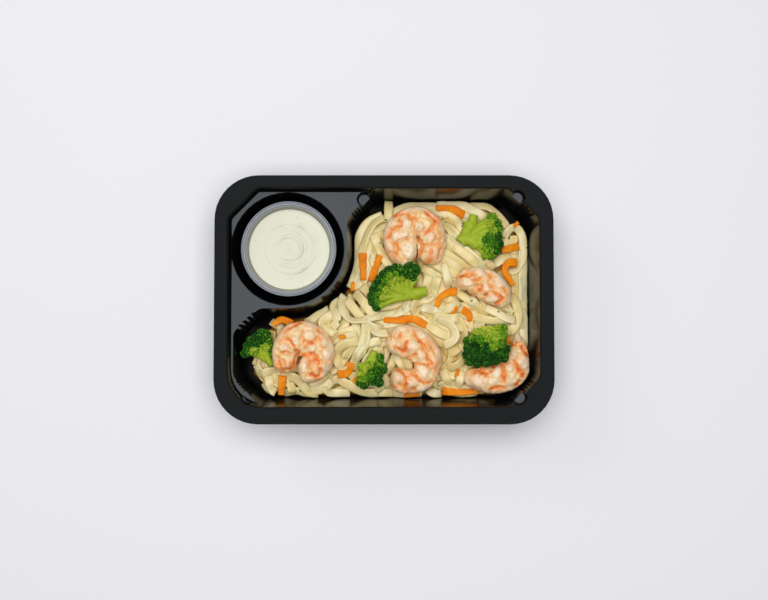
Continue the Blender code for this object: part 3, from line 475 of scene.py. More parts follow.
turns = np.linspace(0.0, 2 * math.pi, DIP_STEPS, endpoint=False)
share, turn = np.meshgrid(np.linspace(0.0, 1.0, DIP_RINGS + 1)[1:], turns, indexing="ij")
radius = share * (cup_inner_radius(DIP_Z) + 0.5 * CUP_WALL)
spiral = turn + 0.35 * np.sin(2 * turn + 1.0) + 0.25 * np.sin(3 * turn + 9.0 * share)
ridge = np.sin(spiral - 2 * math.pi * radius / RIDGE_SPACING)
coarse = np.sin(spiral - 2 * math.pi * radius / (2.0 * RIDGE_SPACING))
inner = np.clip((SWIRL_EDGE - share) / SMOOTH_EDGE, 0.0, 1.0)
broken = 0.4 + 1.5 * dip_uneven(3, 6.0 * MM) ** 2
relief = (0.34 * np.sign(ridge) * np.abs(ridge) ** 0.7 + 0.24 * coarse) * inner * broken
relief += 0.22 * (dip_uneven(4, 3.0 * MM) - 0.5)
heights = DIP_Z + relief * MM + np.where(share > WALL_EDGE, (share - WALL_EDGE) * 8.0 * MM, 0.0)
points = np.stack([CUP_X + radius * np.cos(turn), CUP_Y + radius * np.sin(turn), heights], axis=2)
points = points.reshape(-1, 3)
print("dip: ridges from", round(float(relief.min()), 2), "to", round(float(relief.max()), 2), "mm")

# %% Dip body
wall_heights = (DIP_Z - 1.5 * MM, 15.0 * MM, CUP_FLOOR_Z + 0.4 * MM)
wall = [(cup_inner_radius(z) + 0.5 * CUP_WALL, z) for z in wall_heights]
wall.append((CUP_BASE_RADIUS - 1.0 * MM, CUP_FLOOR_Z - 0.2 * MM))
points = np.vstack([points, *(dip_ring(*ring) for ring in wall)])
points = np.vstack([points, (CUP_X, CUP_Y, DIP_Z + 0.1 * MM), (CUP_X, CUP_Y, CUP_FLOOR_Z - 0.2 * MM)])
rows = DIP_RINGS + len(wall)
top, foot, tail = rows * DIP_STEPS, rows * DIP_STEPS + 1, (rows - 1) * DIP_STEPS
faces = []
for k in range(DIP_STEPS):
    beside = (k + 1) % DIP_STEPS
    for start in range(0, tail, DIP_STEPS):
        faces.append((start + k, start + DIP_STEPS + k, start + DIP_STEPS + beside, start + beside))
    faces += [(top, k, beside), (foot, tail + beside, tail + k)]
print("dip:", len(points), "points")

# %% Dip finish
# Strained yogurt is nearly white and lets a little light in. The specks are of ground spice, half a
# millimetre wide, and the noise leaves most of them out.
dip_finish, place = new_finish("creamy yogurt dip", Roughness=0.36, IOR=1.4)
let_light_in(dip_finish, 0.25, (1.0, 0.9, 0.7), 0.8 * MM)
specks = add_node(dip_finish, "TexVoronoi", {"Vector": place, "Scale": 420.0, "Randomness": 1.0})
dot = add_node(dip_finish, "MapRange", {
    "Value": specks.outputs["Distance"], "From Min": 0.10, "From Max": 0.17})
rare = add_node(dip_finish, "TexNoise", {"Vector": place, "Scale": 260.0, "Detail": 0.0})
sparse = add_node(dip_finish, "MapRange", {"Value": rare.outputs["Fac"], "From Min": 0.60, "From Max": 0.66})
shown = add_node(dip_finish, "Math", {0: sparse.outputs["Result"], 1: dot.outputs["Result"]},
                 operation="SUBTRACT", use_clamp=True)
base = add_node(dip_finish, "Mix", {
    "Factor": shown.outputs[0], "A": "#e2e1cd", "B": "#8f9278"}, data_type="RGBA")
set_shader(dip_finish, Base_Color=base.outputs["Result"])
dip = mesh_object("dip_swirled", points, faces, dip_finish)
place_on_body(dip, "dip", "dip")
print("dip:", len(dip.data.polygons), "faces")

# %% [markdown]
# Fettuccine is laid strand by strand. A map of heights over the whole tray says how high the food already
# reaches at each place. A strand is draped over that map, and then the map is raised by the strand.

# %% Height maps
CELL = 0.8 * MM
MAP_X, MAP_Y = -104.0 * MM, -74.0 * MM
COLUMNS, ROWS = 262, 188
DOWN, UP = Vector((0.0, 0.0, -1.0)), Vector((0.0, 0.0, 1.0))
HIGH_ABOVE, WELL_BELOW = 100.0 * MM, -10.0 * MM
RIM_TOP, NO_TOPPING = 40.0 * MM, 1.0


def tree_of(*objects):
    """A search tree over the faces of some objects."""
    corners, triangles = [], []
    for one in objects:
        mesh = one.data
        start = len(corners)
        corners += [vertex.co.copy() for vertex in mesh.vertices]
        triangles += [[start + i for i in face.vertices] for face in mesh.polygons]
    return BVHTree.FromPolygons(corners, triangles)


def heights_of(tree, from_above, missing):
    """The height where a vertical line meets a tree, for each cell of the map."""
    start, way = (HIGH_ABOVE, DOWN) if from_above else (WELL_BELOW, UP)
    field = np.full((COLUMNS, ROWS), missing)
    for i in range(COLUMNS):
        for j in range(ROWS):
            hit = tree.ray_cast(Vector((MAP_X + i * CELL, MAP_Y + j * CELL, start)), way)[0]
            if hit is not None:
                field[i, j] = hit.z
    return field


SHRIMPS = [name for name in NODES if name.startswith("shrimp")]
FLORETS = [name for name in NODES if name.startswith("broccoli")]
CARROTS = [name for name in NODES if name.startswith("carrot")]
tray_tree = tree_of(NODES["tray"])
heap_tree = tree_of(NODES["noodles"])
topping_tree = tree_of(*(NODES[name] for name in SHRIMPS + FLORETS + CARROTS))
tray_map = heights_of(tray_tree, True, RIM_TOP)
heap_map = heights_of(heap_tree, True, 0.0)
under_map = heights_of(topping_tree, False, NO_TOPPING)


def blurred(field, cells):
    """A field averaged over a square of cells."""
    for axis in (0, 1):
        padded = np.concatenate([np.repeat(np.take(field, [0], axis), cells, axis), field,
                                 np.repeat(np.take(field, [-1], axis), cells, axis)], axis)
        total = np.cumsum(padded, axis)
        size = field.shape[axis]
        high = np.take(total, range(2 * cells, 2 * cells + size), axis)
        nothing = np.zeros_like(np.take(total, [0], axis))
        low = np.concatenate([nothing, np.take(total, range(size - 1), axis)], axis)
        field = (high - low) / (2 * cells + 1)
    return field


def cells_at(x, y):
    """The cells of the map under some places."""
    i = np.clip(np.round((x - MAP_X) / CELL).astype(int), 0, COLUMNS - 1)
    j = np.clip(np.round((y - MAP_Y) / CELL).astype(int), 0, ROWS - 1)
    return i, j


print("map of heights:", COLUMNS, "x", ROWS, "heap up to", round(float(heap_map.max()) / MM, 1), "mm")

# %% [markdown]
# Which strands lie on top is read from the picture, in pixels, from the bottom of the heap to its top. Loose
# strands from a seeded rule fill in below them, in small bundles as drained fettuccine lies.

# %% Strands seen in the picture
NOODLE_WIDTH = 6.3 * MM
NOODLE_THICKNESS = 1.7 * MM
STRAND_STEP = 1.6 * MM
SEEN_Z = 23.0
TOP_STRANDS = [
    [(388.8, 200), (388.6, 206), (388.4, 213), (387.9, 222)],
    [(494, 264), (502, 259), (513, 252)],
    [(333, 347), (345, 338.5), (360, 335)],
    [(281, 396), (295, 391), (312, 396)],
    [(388, 396), (402, 394), (426, 397)],
    [(503, 238), (512, 247), (520, 252)],
    [(441, 200), (422, 202), (408, 205), (394, 211), (386, 216)],
    [(386, 216), (375, 221.5), (367, 234), (363, 247), (358, 263), (354, 274), (350, 286)],
    [(383.5, 213.5), (370, 219), (362, 228), (358, 240), (356.7, 255), (354, 267), (350.7, 276), (344, 288)],
    [(373, 232), (377, 243), (385, 260), (390, 267), (396, 276)],
    [(470, 203), (484, 202), (495, 209.5), (507, 224), (509, 229.5)],
    [(436, 199), (448, 200), (461, 203), (479, 213.5), (489, 222)],
    [(436, 211), (452, 215), (461, 227), (466, 238)],
    [(524, 266), (525, 287), (527, 307), (524, 330)],
    [(531, 240), (531.5, 262), (531, 285), (530.5, 306)],
    [(440, 234), (452, 242), (468, 252), (486, 268)],
    [(444, 240), (461, 252), (479, 266), (490, 276)],
    [(438, 248), (452, 258), (468, 270), (478, 282)],
    [(432, 254), (446, 262), (460, 268), (472, 270)],
    [(425, 258), (436, 264), (449, 272), (462, 276)],
    [(520, 225.5), (526, 231), (531, 237)],
    [(504, 238), (510, 229), (516, 225.5), (523, 234), (527, 247), (523, 260), (515, 272), (507, 268)],
    [(442, 262), (446, 274), (449, 286), (447, 296)],
    [(523, 307), (525, 323.5), (527, 340), (522, 352)],
    [(511, 293), (517, 305), (519, 317), (513, 330), (507, 334)],
    [(446, 297), (465, 311), (484, 319.5), (504, 321), (514, 312)],
    [(484, 307), (500, 315), (507, 319.5), (517, 320)],
    [(469, 297), (477, 307), (481, 326), (478, 338)],
    [(420, 307), (430, 309), (444, 310), (454, 306), (462, 300)],
    [(433, 315), (452, 319), (464, 317), (474.5, 319), (482, 326)],
    [(342, 292), (341, 305), (348, 319), (359, 321), (376, 316.5), (390, 315), (404, 311), (412, 304)],
    [(363, 322), (377, 329), (394, 326), (404, 319.5)],
    [(366, 322), (366, 335.5), (363, 349), (354, 360)],
    [(371, 323.5), (373, 331.5), (381, 334), (390, 332)],
    [(382, 340), (367, 344), (359, 350), (354, 362), (352, 372)],
    [(334, 293), (332, 304), (337, 315), (337, 323), (329, 330)],
    [(353.5, 291), (363, 301.5), (371, 312), (380, 318)],
    [(329, 307), (317, 314), (310, 321), (302, 323)],
    [(334, 313), (322.5, 321), (321, 326), (329, 330), (337, 336)],
    [(360, 340.5), (345.5, 344), (337, 350), (336, 359), (342, 369), (348, 368)],
    [(366, 322), (364, 338), (359, 354), (348, 370), (342, 377), (330.5, 382)],
    [(438, 275), (433, 293), (429, 299), (415.6, 302), (414, 310), (420, 318), (428, 325), (444, 335.5),
     (454, 335.5)],
    [(436, 321), (444, 321), (452, 326), (456, 335.5), (452, 342), (442, 346)],
    [(461, 342), (466.5, 353), (461, 362), (452, 368), (444, 362)],
    [(393, 352), (398, 358), (403, 366), (407, 374)],
    [(403, 352), (407, 360), (409, 368), (408, 376)],
    [(442, 368), (449, 386), (452, 396)],
    [(462.5, 369), (461, 378), (456, 389), (448, 397)],
    [(429, 389), (433, 397), (446, 397)],
    [(438, 382), (452, 393), (468, 396), (480, 392)],
    [(350, 384), (358, 390), (377, 394.5), (397, 396)],
    [(363, 386), (374, 382), (379.5, 389), (384, 395)],
    [(268.5, 320), (276, 325), (283.5, 329)],
    [(254, 363.5), (259, 371.5), (262, 380)],
    [(259, 375), (274, 370), (282, 376)],
    [(262, 382), (267, 393), (274, 396)],
    [(267, 375), (271, 391), (278, 397)],
    [(278, 376), (293, 377), (302, 384), (308, 393), (320, 399)],
    [(288, 381), (293, 393), (289, 399)],
    [(302, 389), (305, 399)],
    [(333, 379.5), (322.5, 389), (311, 392), (302, 398)],
    [(336, 378), (348, 385), (363, 393), (382, 393)],
    [(326, 385), (328, 396), (345.5, 397), (351, 393)],
]
HEAP_EDGE = [
    (384, 219), (393, 213), (402, 208), (415, 204), (430, 200.5), (452, 200), (470, 200), (488, 206),
    (498, 214), (504, 224), (520, 225), (533, 234), (535, 246), (537, 276), (537, 330), (536, 360),
    (528, 384),
    (514, 398), (500, 405), (440, 405), (370, 405), (300, 405), (276, 400), (266, 392), (260, 382),
    (257, 374),
    (250, 366), (250, 350), (262, 340), (266, 326), (268, 319), (292, 316), (318, 311), (334, 296),
    (350, 278),
    (353, 258), (357, 238), (364, 226), (374, 218)]
HEAP_EDGE_Z = 17.0
heap_edge = [seen_at(px, py, HEAP_EDGE_Z) for px, py in HEAP_EDGE]
print("strands seen:", len(TOP_STRANDS), "corners of the heap's edge:", len(HEAP_EDGE))

# %% [markdown]
# The strands need to know where they may go: inside the heap's edge, under the toppings, and clear of the
# tray's walls. Maps say so for each cell, and whatever reaches into a wall is moved down the wall's slope.

# %% Room for the strands
FLOOR_Z = 1.6 * MM
LOW_WALL = 14.0 * MM
HEAP_FOOT = 13.0 * MM
WALL_GAP = 0.3 * MM


def within(x, y, corners):
    """Which places lie inside a polygon."""
    found = np.zeros(np.shape(x), dtype=bool)
    for (x1, y1), (x2, y2) in zip(corners, corners[1:] + corners[:1]):
        crosses = ((y1 > y) != (y2 > y)) & (x < (x2 - x1) * (y - y1) / (y2 - y1 + 1e-12) + x1)
        found ^= crosses
    return found


def running_mean(values, reach):
    """Values along a line averaged over their neighbours."""
    kernel = np.ones(2 * reach + 1) / (2 * reach + 1)
    padded = np.concatenate([np.full(reach, values[0]), values, np.full(reach, values[-1])])
    return np.convolve(padded, kernel, mode="valid")


def spread_low(field, cells):
    """A field in which each cell takes the lowest value near it."""
    low = field.copy()
    for _ in range(cells):
        for axis in (0, 1):
            low = np.minimum(low, np.minimum(np.roll(low, 1, axis), np.roll(low, -1, axis)))
    return low


map_x, map_y = np.meshgrid(MAP_X + CELL * np.arange(COLUMNS), MAP_Y + CELL * np.arange(ROWS), indexing="ij")
wall_map = -spread_low(-tray_map, 4)
in_edge = within(map_x, map_y, heap_edge)
inside_map = in_edge & (wall_map < LOW_WALL)
deep_map = (blurred(in_edge.astype(float), 4) > 0.75) & (wall_map < LOW_WALL)
slope_x, slope_y = np.gradient(blurred(tray_map, 8))
under_map = spread_low(under_map, 2) + 0.4 * MM
heap_top = np.where(inside_map, np.maximum(blurred(heap_map, 4), HEAP_FOOT) + 3.6 * MM, HEAP_FOOT)
heap_top = blurred(heap_top, 4)
limit_map = np.minimum(heap_top, under_map)
print("heap covers", round(float(inside_map.mean()) * 100), "% of the map")


def inside(x, y):
    """Whether a place lies well inside the heap."""
    i, j = cells_at(np.array([x]), np.array([y]))
    return bool(deep_map[i[0], j[0]])


def back_inside(points, walls, gap):
    """Move points that reach into a wall down its slope, half a cell at a time, and back into the tray."""
    points[:, 2] = np.maximum(points[:, 2], FLOOR_Z + gap)
    for _ in range(60):
        i, j = cells_at(points[:, 0], points[:, 1])
        out = walls[i, j] > points[:, 2] - gap
        downhill = np.column_stack([slope_x[i, j], slope_y[i, j]])
        downhill /= np.linalg.norm(downhill, axis=1)[:, None] + 1e-9
        points[out, :2] -= 0.5 * CELL * downhill[out]
    return points


def clear_of_walls(piece):
    """Press what reaches into a wall of the tray back against its inner side."""
    corners = np.zeros(len(piece.data.vertices) * 3)
    piece.data.vertices.foreach_get("co", corners)
    piece.data.vertices.foreach_set("co", back_inside(corners.reshape(-1, 3), tray_map, WALL_GAP).ravel())
    return piece


def cleared(path):
    """A strand's path, moved off the walls by half its width, with what it takes to stay smooth."""
    moved = back_inside(np.column_stack([path, np.full(len(path), HEAP_FOOT)]), wall_map, 0.5 * MM)
    kept = [moved[0, :2]]
    for point in moved[1:, :2]:
        if np.linalg.norm(point - kept[-1]) > 0.5 * STRAND_STEP:
            kept.append(point)
    kept = np.array(kept)
    kept = np.column_stack([running_mean(kept[:, axis], 2) for axis in (0, 1)])
    at = path_lengths(kept)
    steps = np.arange(0.0, at[-1], STRAND_STEP)
    return np.column_stack([np.interp(steps, at, kept[:, axis]) for axis in (0, 1)])


def longest_inside(path):
    """The longest run of a path that lies well inside the heap."""
    kept, run = path[:0], []
    for point, is_in in zip(path, deep_map[cells_at(path[:, 0], path[:, 1])]):
        run = run + [point] if is_in else []
        if len(run) > len(kept):
            kept = np.array(run)
    return kept


# %% [markdown]
# The loose strands come from a rule. It has to look like pasta that slid off a spoon: long gentle bends that
# never cross the heap's edge, and two or three strands side by side.

# %% Plan the strands
FILLER_BUNDLES = 30
FILLER_STEP, LOOK_AHEAD = 5.0 * MM, 9.0 * MM
SHORTEST = 12
rng = random.Random(29)


def filler_path(length):
    """A loose strand's path: it starts over the heap and wanders on gentle, changing bends."""
    while True:
        x = rng.uniform(-100.0, 101.0) * MM
        y = rng.uniform(-68.0, 70.0) * MM
        if inside(x, y):
            break
    heading = rng.uniform(0.0, 2 * math.pi)
    bend = rng.uniform(-0.3, 0.3)
    path = [(x, y)]
    for _ in range(int(length / FILLER_STEP)):
        x, y = path[-1]
        for _ in range(12):
            if inside(x + LOOK_AHEAD * math.cos(heading), y + LOOK_AHEAD * math.sin(heading)):
                break
            heading += math.copysign(0.4, bend)
        path.append((x + FILLER_STEP * math.cos(heading), y + FILLER_STEP * math.sin(heading)))
        bend = 0.8 * bend + rng.uniform(-0.14, 0.14)
        heading += bend
    return path


def shifted(path, offset):
    """A path beside another one."""
    path = np.asarray(path)
    ahead = np.gradient(path, axis=0)
    ahead /= np.linalg.norm(ahead, axis=1)[:, None] + 1e-12
    return path + offset * np.stack([ahead[:, 1], -ahead[:, 0]], axis=1)


plans = []
for k in range(FILLER_BUNDLES):
    middle = filler_path(rng.uniform(55.0, 120.0) * MM)
    for offset in ((-1.1, 0.0, 1.1) if k % 3 else (-0.55, 0.55)):
        plans.append(longest_inside(rounded_path(shifted(middle, offset * NOODLE_WIDTH), STRAND_STEP)))
plans = [path for path in plans if len(path) > SHORTEST]
first_parallel = len(plans)
tops = [[seen_at(px, py, SEEN_Z) for px, py in strand] for strand in TOP_STRANDS]
for strand in tops:
    if len(strand) > 3:
        for side in (-1.0, 1.0):
            beside = shifted(strand, side * rng.uniform(0.9, 1.25) * NOODLE_WIDTH)
            beside = longest_inside(rounded_path(beside, STRAND_STEP))
            if len(beside) > SHORTEST:
                plans.append(beside)
# The first of the strands that are seen leans up the wall, so it is the only one that isn't moved off it.
leaning = first_top = len(plans)
plans += [rounded_path(strand, STRAND_STEP) for strand in tops]
plans = [path if number == leaning else cleared(path) for number, path in enumerate(plans)]
print("strands planned:", len(plans), "length", round(sum(path_lengths(p)[-1] for p in plans), 2), "m")

# %% [markdown]
# A strand that is laid on others bridges the gaps between them instead of following each one, so its height
# is the highest of the parabolas that stand on what is below it. Where it bends it also rolls on to its edge.

# %% Drape the strands
LAYER = 0.95 * NOODLE_THICKNESS
BEND_RADIUS = 16.0 * MM
DIVE_LENGTH, DIVE_DEPTH = 7.0 * MM, 2.2 * MM
EDGE_ROLL, MOST_ROLL = math.radians(58.0), 1.1
CURL_RADIUS = 8.0 * MM
LEANING_SPARE = -16.0 * MM
FILLER_SPARE, BESIDE_SPARE, TOP_SPARE = 4.6 * MM, 2.2 * MM, -2.0 * MM
BED_SPARE, BED_LOW, BED_HIGH = 2.0 * MM, 3.0 * MM, 14.0 * MM
ACROSS = np.linspace(-0.45, 0.45, 7) * NOODLE_WIDTH


def footprint(path):
    """The places under a strand, across its width."""
    side = sweep_frames(np.column_stack([path, np.zeros(len(path))]))[0][:, :2]
    return path[:, None, :] + ACROSS[None, :, None] * side[:, None, :]


covered = np.zeros((COLUMNS, ROWS))
for path in plans:
    under = footprint(path)
    i, j = cells_at(under[:, :, 0].ravel(), under[:, :, 1].ravel())
    once = np.zeros_like(covered)
    once[i, j] = 1.0
    covered += once
covered = blurred(covered, 4)
bed_map = blurred(spread_low(limit_map, 3), 3) - BED_SPARE - 0.75 * covered * LAYER
bed_map = np.clip(bed_map, BED_LOW, BED_HIGH)
height_map = np.maximum(bed_map, np.minimum(tray_map, 30.0 * MM))
bed_inside = bed_map[inside_map] / MM
mean_layers = float(covered[inside_map].mean())
print("layers of strands:", round(mean_layers, 1), "and up to", round(float(covered.max()), 1))
print("bed:", round(float(bed_inside.min()), 1), "to", round(float(bed_inside.max()), 1), "mm")


def drape(path, seed, spare):
    """Lay a strand over what is there: its middle line, its roll, and the map raised by it.

    It stays under the toppings, and by at least `spare` under the top of the heap.
    """
    ahead = np.gradient(path, axis=0)
    curl = np.gradient(np.unwrap(np.arctan2(ahead[:, 1], ahead[:, 0]))) / STRAND_STEP
    curl = running_mean(curl, 3)
    lean = np.sign(curl) * EDGE_ROLL * (1.0 - np.exp(-np.abs(curl) * CURL_RADIUS))
    lean = lean * (1.0 if seed % 3 else -1.0)
    lean = running_mean(lean + smooth_noise(seed, len(path), -0.25, 0.25, 0.12), 3)
    under = footprint(path)
    i, j = cells_at(under[:, :, 0], under[:, :, 1])
    support = height_map[i, j]
    slope = (support[:, 4:].mean(axis=1) - support[:, :3].mean(axis=1)) / (0.55 * NOODLE_WIDTH)
    slope = running_mean(np.clip(slope, -0.7, 0.7), 5)
    roll = np.clip(0.7 * np.arctan(slope) + lean, -MOST_ROLL, MOST_ROLL)
    tilt = np.tan(roll)
    narrow = np.cos(roll)
    rise = (support - tilt[:, None] * ACROSS[None, :] * narrow[:, None]).max(axis=1)
    reach = np.arange(len(path)) * STRAND_STEP
    apart = (reach[:, None] - reach[None, :]) ** 2
    middle = (rise[None, :] - apart / (2 * BEND_RADIUS)).max(axis=1)
    middle = running_mean(middle, 3) + 0.42 * NOODLE_THICKNESS
    from_end = np.minimum(reach, reach[-1] - reach)
    middle -= DIVE_DEPTH * np.clip(1.0 - from_end / DIVE_LENGTH, 0.0, 1.0) ** 1.5
    edge = np.abs(tilt * narrow) * 0.45 * NOODLE_WIDTH
    ceiling = running_mean(heap_top[i, j].min(axis=1), 3) - spare
    beneath = under_map[i, j].min(axis=1) - 0.7 * edge
    middle = running_mean(np.minimum(middle, np.minimum(ceiling, beneath)), 1)
    top = middle[:, None] + tilt[:, None] * ACROSS[None, :] * narrow[:, None] + 0.5 * NOODLE_THICKNESS
    squeezed = path[:, None, :] + (under - path[:, None, :]) * narrow[:, None, None]
    i, j = cells_at(squeezed[:, :, 0], squeezed[:, :, 1])
    np.maximum.at(height_map, (i.ravel(), j.ravel()), top.ravel())
    return np.column_stack([path, middle]), roll


noodle_finish, place = new_finish("cooked fettuccine", Roughness=0.34, IOR=1.4)
strands = []
for number, path in enumerate(plans):
    if len(path) < 6:
        continue
    layer = 0 if number < first_parallel else 1 if number < first_top else 2
    if number == leaning:
        line, roll = drape(path, number, LEANING_SPARE)
    else:
        line, roll = drape(path, number, (FILLER_SPARE, BESIDE_SPARE, TOP_SPARE)[layer])
        line = back_inside(line, wall_map, WALL_GAP)
    width = NOODLE_WIDTH * rng.uniform(0.9, 1.08)
    sections = np.repeat(rounded_strip(width, NOODLE_THICKNESS, 12 if layer else 8)[None], len(line), axis=0)
    sections[:, :, 0] *= smooth_noise(1000 + number, len(line), 0.93, 1.07, 0.25)[:, None]
    strand = clear_of_walls(swept(f"strand_{number}", line, sections, roll, noodle_finish))
    # A strand's layer sets how dark it is painted, lower layers darker, as painted shade; the random share is
    # its own tone.
    tone = (0.0, 0.25, 0.5)[layer] + 0.5 * rng.random()
    strands.append(add_values(strand, "shade", np.full(len(strand.data.vertices), tone)))
noodles = join("fettuccine_strands", strands)
print("strands:", len(strands), "triangles", sum(len(f.vertices) - 2 for f in noodles.data.polygons))

# %% [markdown]
# Cooked pasta is waxy: light goes a few millimetres in and comes out warmer. A thin coat of oil and melted
# butter makes it shine, and leaves small yellow specks.

# %% Noodle finish
# The lowest strands are painted brownest, as painted shade: the light that reaches them came through those
# above.
# Clouds a centimetre wide, and specks of butter of about a millimetre, break each strand's even colour.
let_light_in(noodle_finish, 0.35, (1.0, 0.75, 0.35), 0.9 * MM)
set_shader(noodle_finish, Coat_Weight=0.25, Coat_Roughness=0.12)
shade = add_node(noodle_finish, "Attribute", attribute_name="shade")
strand_shade_and_tone = add_node(noodle_finish, "ValToRGB", {"Fac": shade.outputs["Fac"]}, stops=[
    (0.0, "#d2ab56"), (0.25, "#e5cc8a"), (0.5, "#f0dda1"), (1.0, "#efe2b4")])
cloud = add_node(noodle_finish, "TexNoise", {"Vector": place, "Scale": 95.0, "Detail": 3.0})
cloudy = add_node(noodle_finish, "MapRange", {
    "Value": cloud.outputs["Fac"], "From Min": 0.35, "From Max": 0.75, "To Max": 0.55})
warm = add_node(noodle_finish, "Mix", {
    "Factor": cloudy.outputs["Result"], "A": strand_shade_and_tone.outputs["Color"], "B": "#dfc677"}, data_type="RGBA")
flake = add_node(noodle_finish, "TexVoronoi", {"Vector": place, "Scale": 170.0, "Randomness": 1.0})
flake_share = add_node(noodle_finish, "MapRange", {
    "Value": flake.outputs["Distance"], "From Min": 0.16, "From Max": 0.10, "To Max": 0.8})
buttered = add_node(noodle_finish, "Mix", {
    "Factor": flake_share.outputs["Result"], "A": warm.outputs["Result"], "B": "#e6cb30"}, data_type="RGBA")
set_shader(noodle_finish, Base_Color=buttered.outputs["Result"])
place_on_body(noodles, "noodles", "noodles")
print("finish:", noodle_finish.name)

# %% [markdown]
# Between the strands one looks into the heap. There the CAD's own heap is used, lowered under the strands.
# What lies deep or by the edge is painted nearly black, and the rest the brown of pasta in shadow: the bed's
# colour is painted shade.

# %% Bed under the strands
LIFTED_FROM, LIFTED_OVER = 5.0 * MM, 4.0 * MM
bed_finish, place = new_finish("fettuccine painted in shadow", Roughness=0.6, Specular_IOR_Level=0.08)
blots = add_node(bed_finish, "TexNoise", {"Vector": place, "Scale": 120.0, "Detail": 2.0})
lifted = add_node(bed_finish, "Attribute", attribute_name="lifted")
bed_share = add_node(bed_finish, "Math", {0: blots.outputs["Fac"], 1: lifted.outputs["Fac"]},
                     operation="MULTIPLY")
# Painted shade: nearly black where the bed lies deep or by the edge, brown elsewhere.
bed_painted_shade = add_node(bed_finish, "ValToRGB", {"Fac": bed_share.outputs[0]}, stops=[
    (0.1, "#0c0a07"), (0.3, "#94661f"), (0.7, "#c49a4c")])
set_shader(bed_finish, Base_Color=bed_painted_shade.outputs["Color"])
bed = merged_copy("noodles", "noodle_bed", 60.0)
bed.data.materials.clear()
bed.data.materials.append(bed_finish)
corners = np.zeros(len(bed.data.vertices) * 3)
bed.data.vertices.foreach_get("co", corners)
corners = corners.reshape(-1, 3)
i, j = cells_at(corners[:, 0], corners[:, 1])
lowered = np.minimum(corners[:, 2], np.maximum(bed_map[i, j], BED_LOW))
corners[:, 2] = np.where(corners[:, 2] > 2.0 * MM, lowered, corners[:, 2])
bed.data.vertices.foreach_set("co", corners.ravel())
bed.data.update()
high_up = np.clip((corners[:, 2] - LIFTED_FROM) / LIFTED_OVER, 0.0, 1.0)
add_values(bed, "lifted", np.where(deep_map[i, j], high_up, 0.0))
place_on_body(bed, "noodles")
print("bed:", len(bed.data.polygons), "faces")

# %% [markdown]
# Carrot strips were cut with a knife, so they have flat sides, with edges that cooking softened. Each is
# swept along the line that the picture shows, at the height of its CAD node.

# %% Carrot finish
# Cooked carrot is moist rather than shiny, and its fibres make it lighter and darker every 6 mm or so.
carrot_finish, place = new_finish("cooked carrot", Roughness=0.4, IOR=1.4, Specular_IOR_Level=0.12)
let_light_in(carrot_finish, 0.1, (1.0, 0.6, 0.1), 0.8 * MM)
fibre = add_node(carrot_finish, "TexNoise", {"Vector": place, "Scale": 160.0, "Detail": 3.0})
carrot_tone = add_node(carrot_finish, "ValToRGB", {"Fac": fibre.outputs["Fac"]}, stops=[
    (0.3, "#e27604"), (0.55, "#ef8c0c"), (0.8, "#f8a424")])
set_shader(carrot_finish, Base_Color=carrot_tone.outputs["Color"])
print("finish:", carrot_finish.name)

# %% Carrots
# The middle line of each strip, in millimetres on the tray. Its height comes from its CAD node.
CARROT_PATHS = {
    "carrot_1": [(36.2, 63.6), (46.5, 63.0), (54.8, 58.6)],
    "carrot_2": [(-14.6, 32.4), (-14.0, 14.0)],
    "carrot_3": [(-2.6, 31.0), (-5.0, 24.0), (-8.6, 13.0)],
    "carrot_4": [(49.6, 6.4), (43.6, 5.2), (38.2, 1.6), (35.8, -4.2)],
    "carrot_5": [(80.6, 34.0), (92.0, 37.2)],
    "carrot_6": [(90.6, 25.6), (85.2, 25.6), (82.4, 20.0), (88.2, 10.4)],
    "carrot_7": [(0.0, -13.4), (10.4, -13.6), (19.4, -12.6), (28.6, -17.0)],
    "carrot_8": [(53.5, -6.4), (58.0, -9.6), (58.2, -14.0)],
    "carrot_9": [(-21.6, -42.6), (-24.4, -49.0), (-31.6, -50.4)],
    "carrot_10": [(-69.0, -51.4), (-69.6, -58.0), (-70.2, -64.4)],
    "carrot_11": [(-75.6, -16.6), (-69.6, -13.0), (-62.6, -16.0)],
    "carrot_12": [(40.0, -61.8), (52.0, -62.6), (64.0, -62.0)],
}
CARROT_WIDTH, CARROT_THICKNESS = 5.2 * MM, 2.6 * MM


def line_on_top(node, path):
    """A path laid just under the top of a node, and level where it has left the node."""
    tree = tree_of(NODES[node])
    places = rounded_path([(x * MM, y * MM) for x, y in path], 1.0 * MM)
    heights = []
    for x, y in places:
        hit = tree.ray_cast(Vector((x, y, HIGH_ABOVE)), DOWN)[0]
        missed = heights[-1] if heights else np.nan
        heights.append(missed if hit is None else hit.z - 0.5 * CARROT_THICKNESS)
    heights = np.array(heights)
    known = np.flatnonzero(~np.isnan(heights))
    heights = running_mean(np.interp(np.arange(len(heights)), known, heights[known]), 2)
    return np.column_stack([places, heights])


for number, (node, path) in enumerate(CARROT_PATHS.items()):
    line = line_on_top(node, path)
    sections = np.repeat(rounded_strip(CARROT_WIDTH, CARROT_THICKNESS, 16, 5.0)[None], len(line), axis=0)
    sections *= smooth_noise(number, len(line), 0.88, 1.06, 0.3)[:, None, None]
    sections[:, :, 0] *= np.linspace(*((1.1, 0.72) if number % 2 else (0.78, 1.1)), len(line))[:, None]
    rolls = smooth_noise(60 + number, len(line), -0.3, 0.3, 0.1)
    place_on_body(swept(node + "_strip", line, sections, rolls, carrot_finish), "carrot", node)
print("carrot strips:", len(CARROT_PATHS))

# %% [markdown]
# A peeled, cooked shrimp curls up. Six segments follow one another from the thick head end to the thin tail,
# with a groove between each two. The back is pale and glassy, the flesh on the inside opens in white lobes,
# and the red-orange colour sits in a broken ring between them and along the grooves.

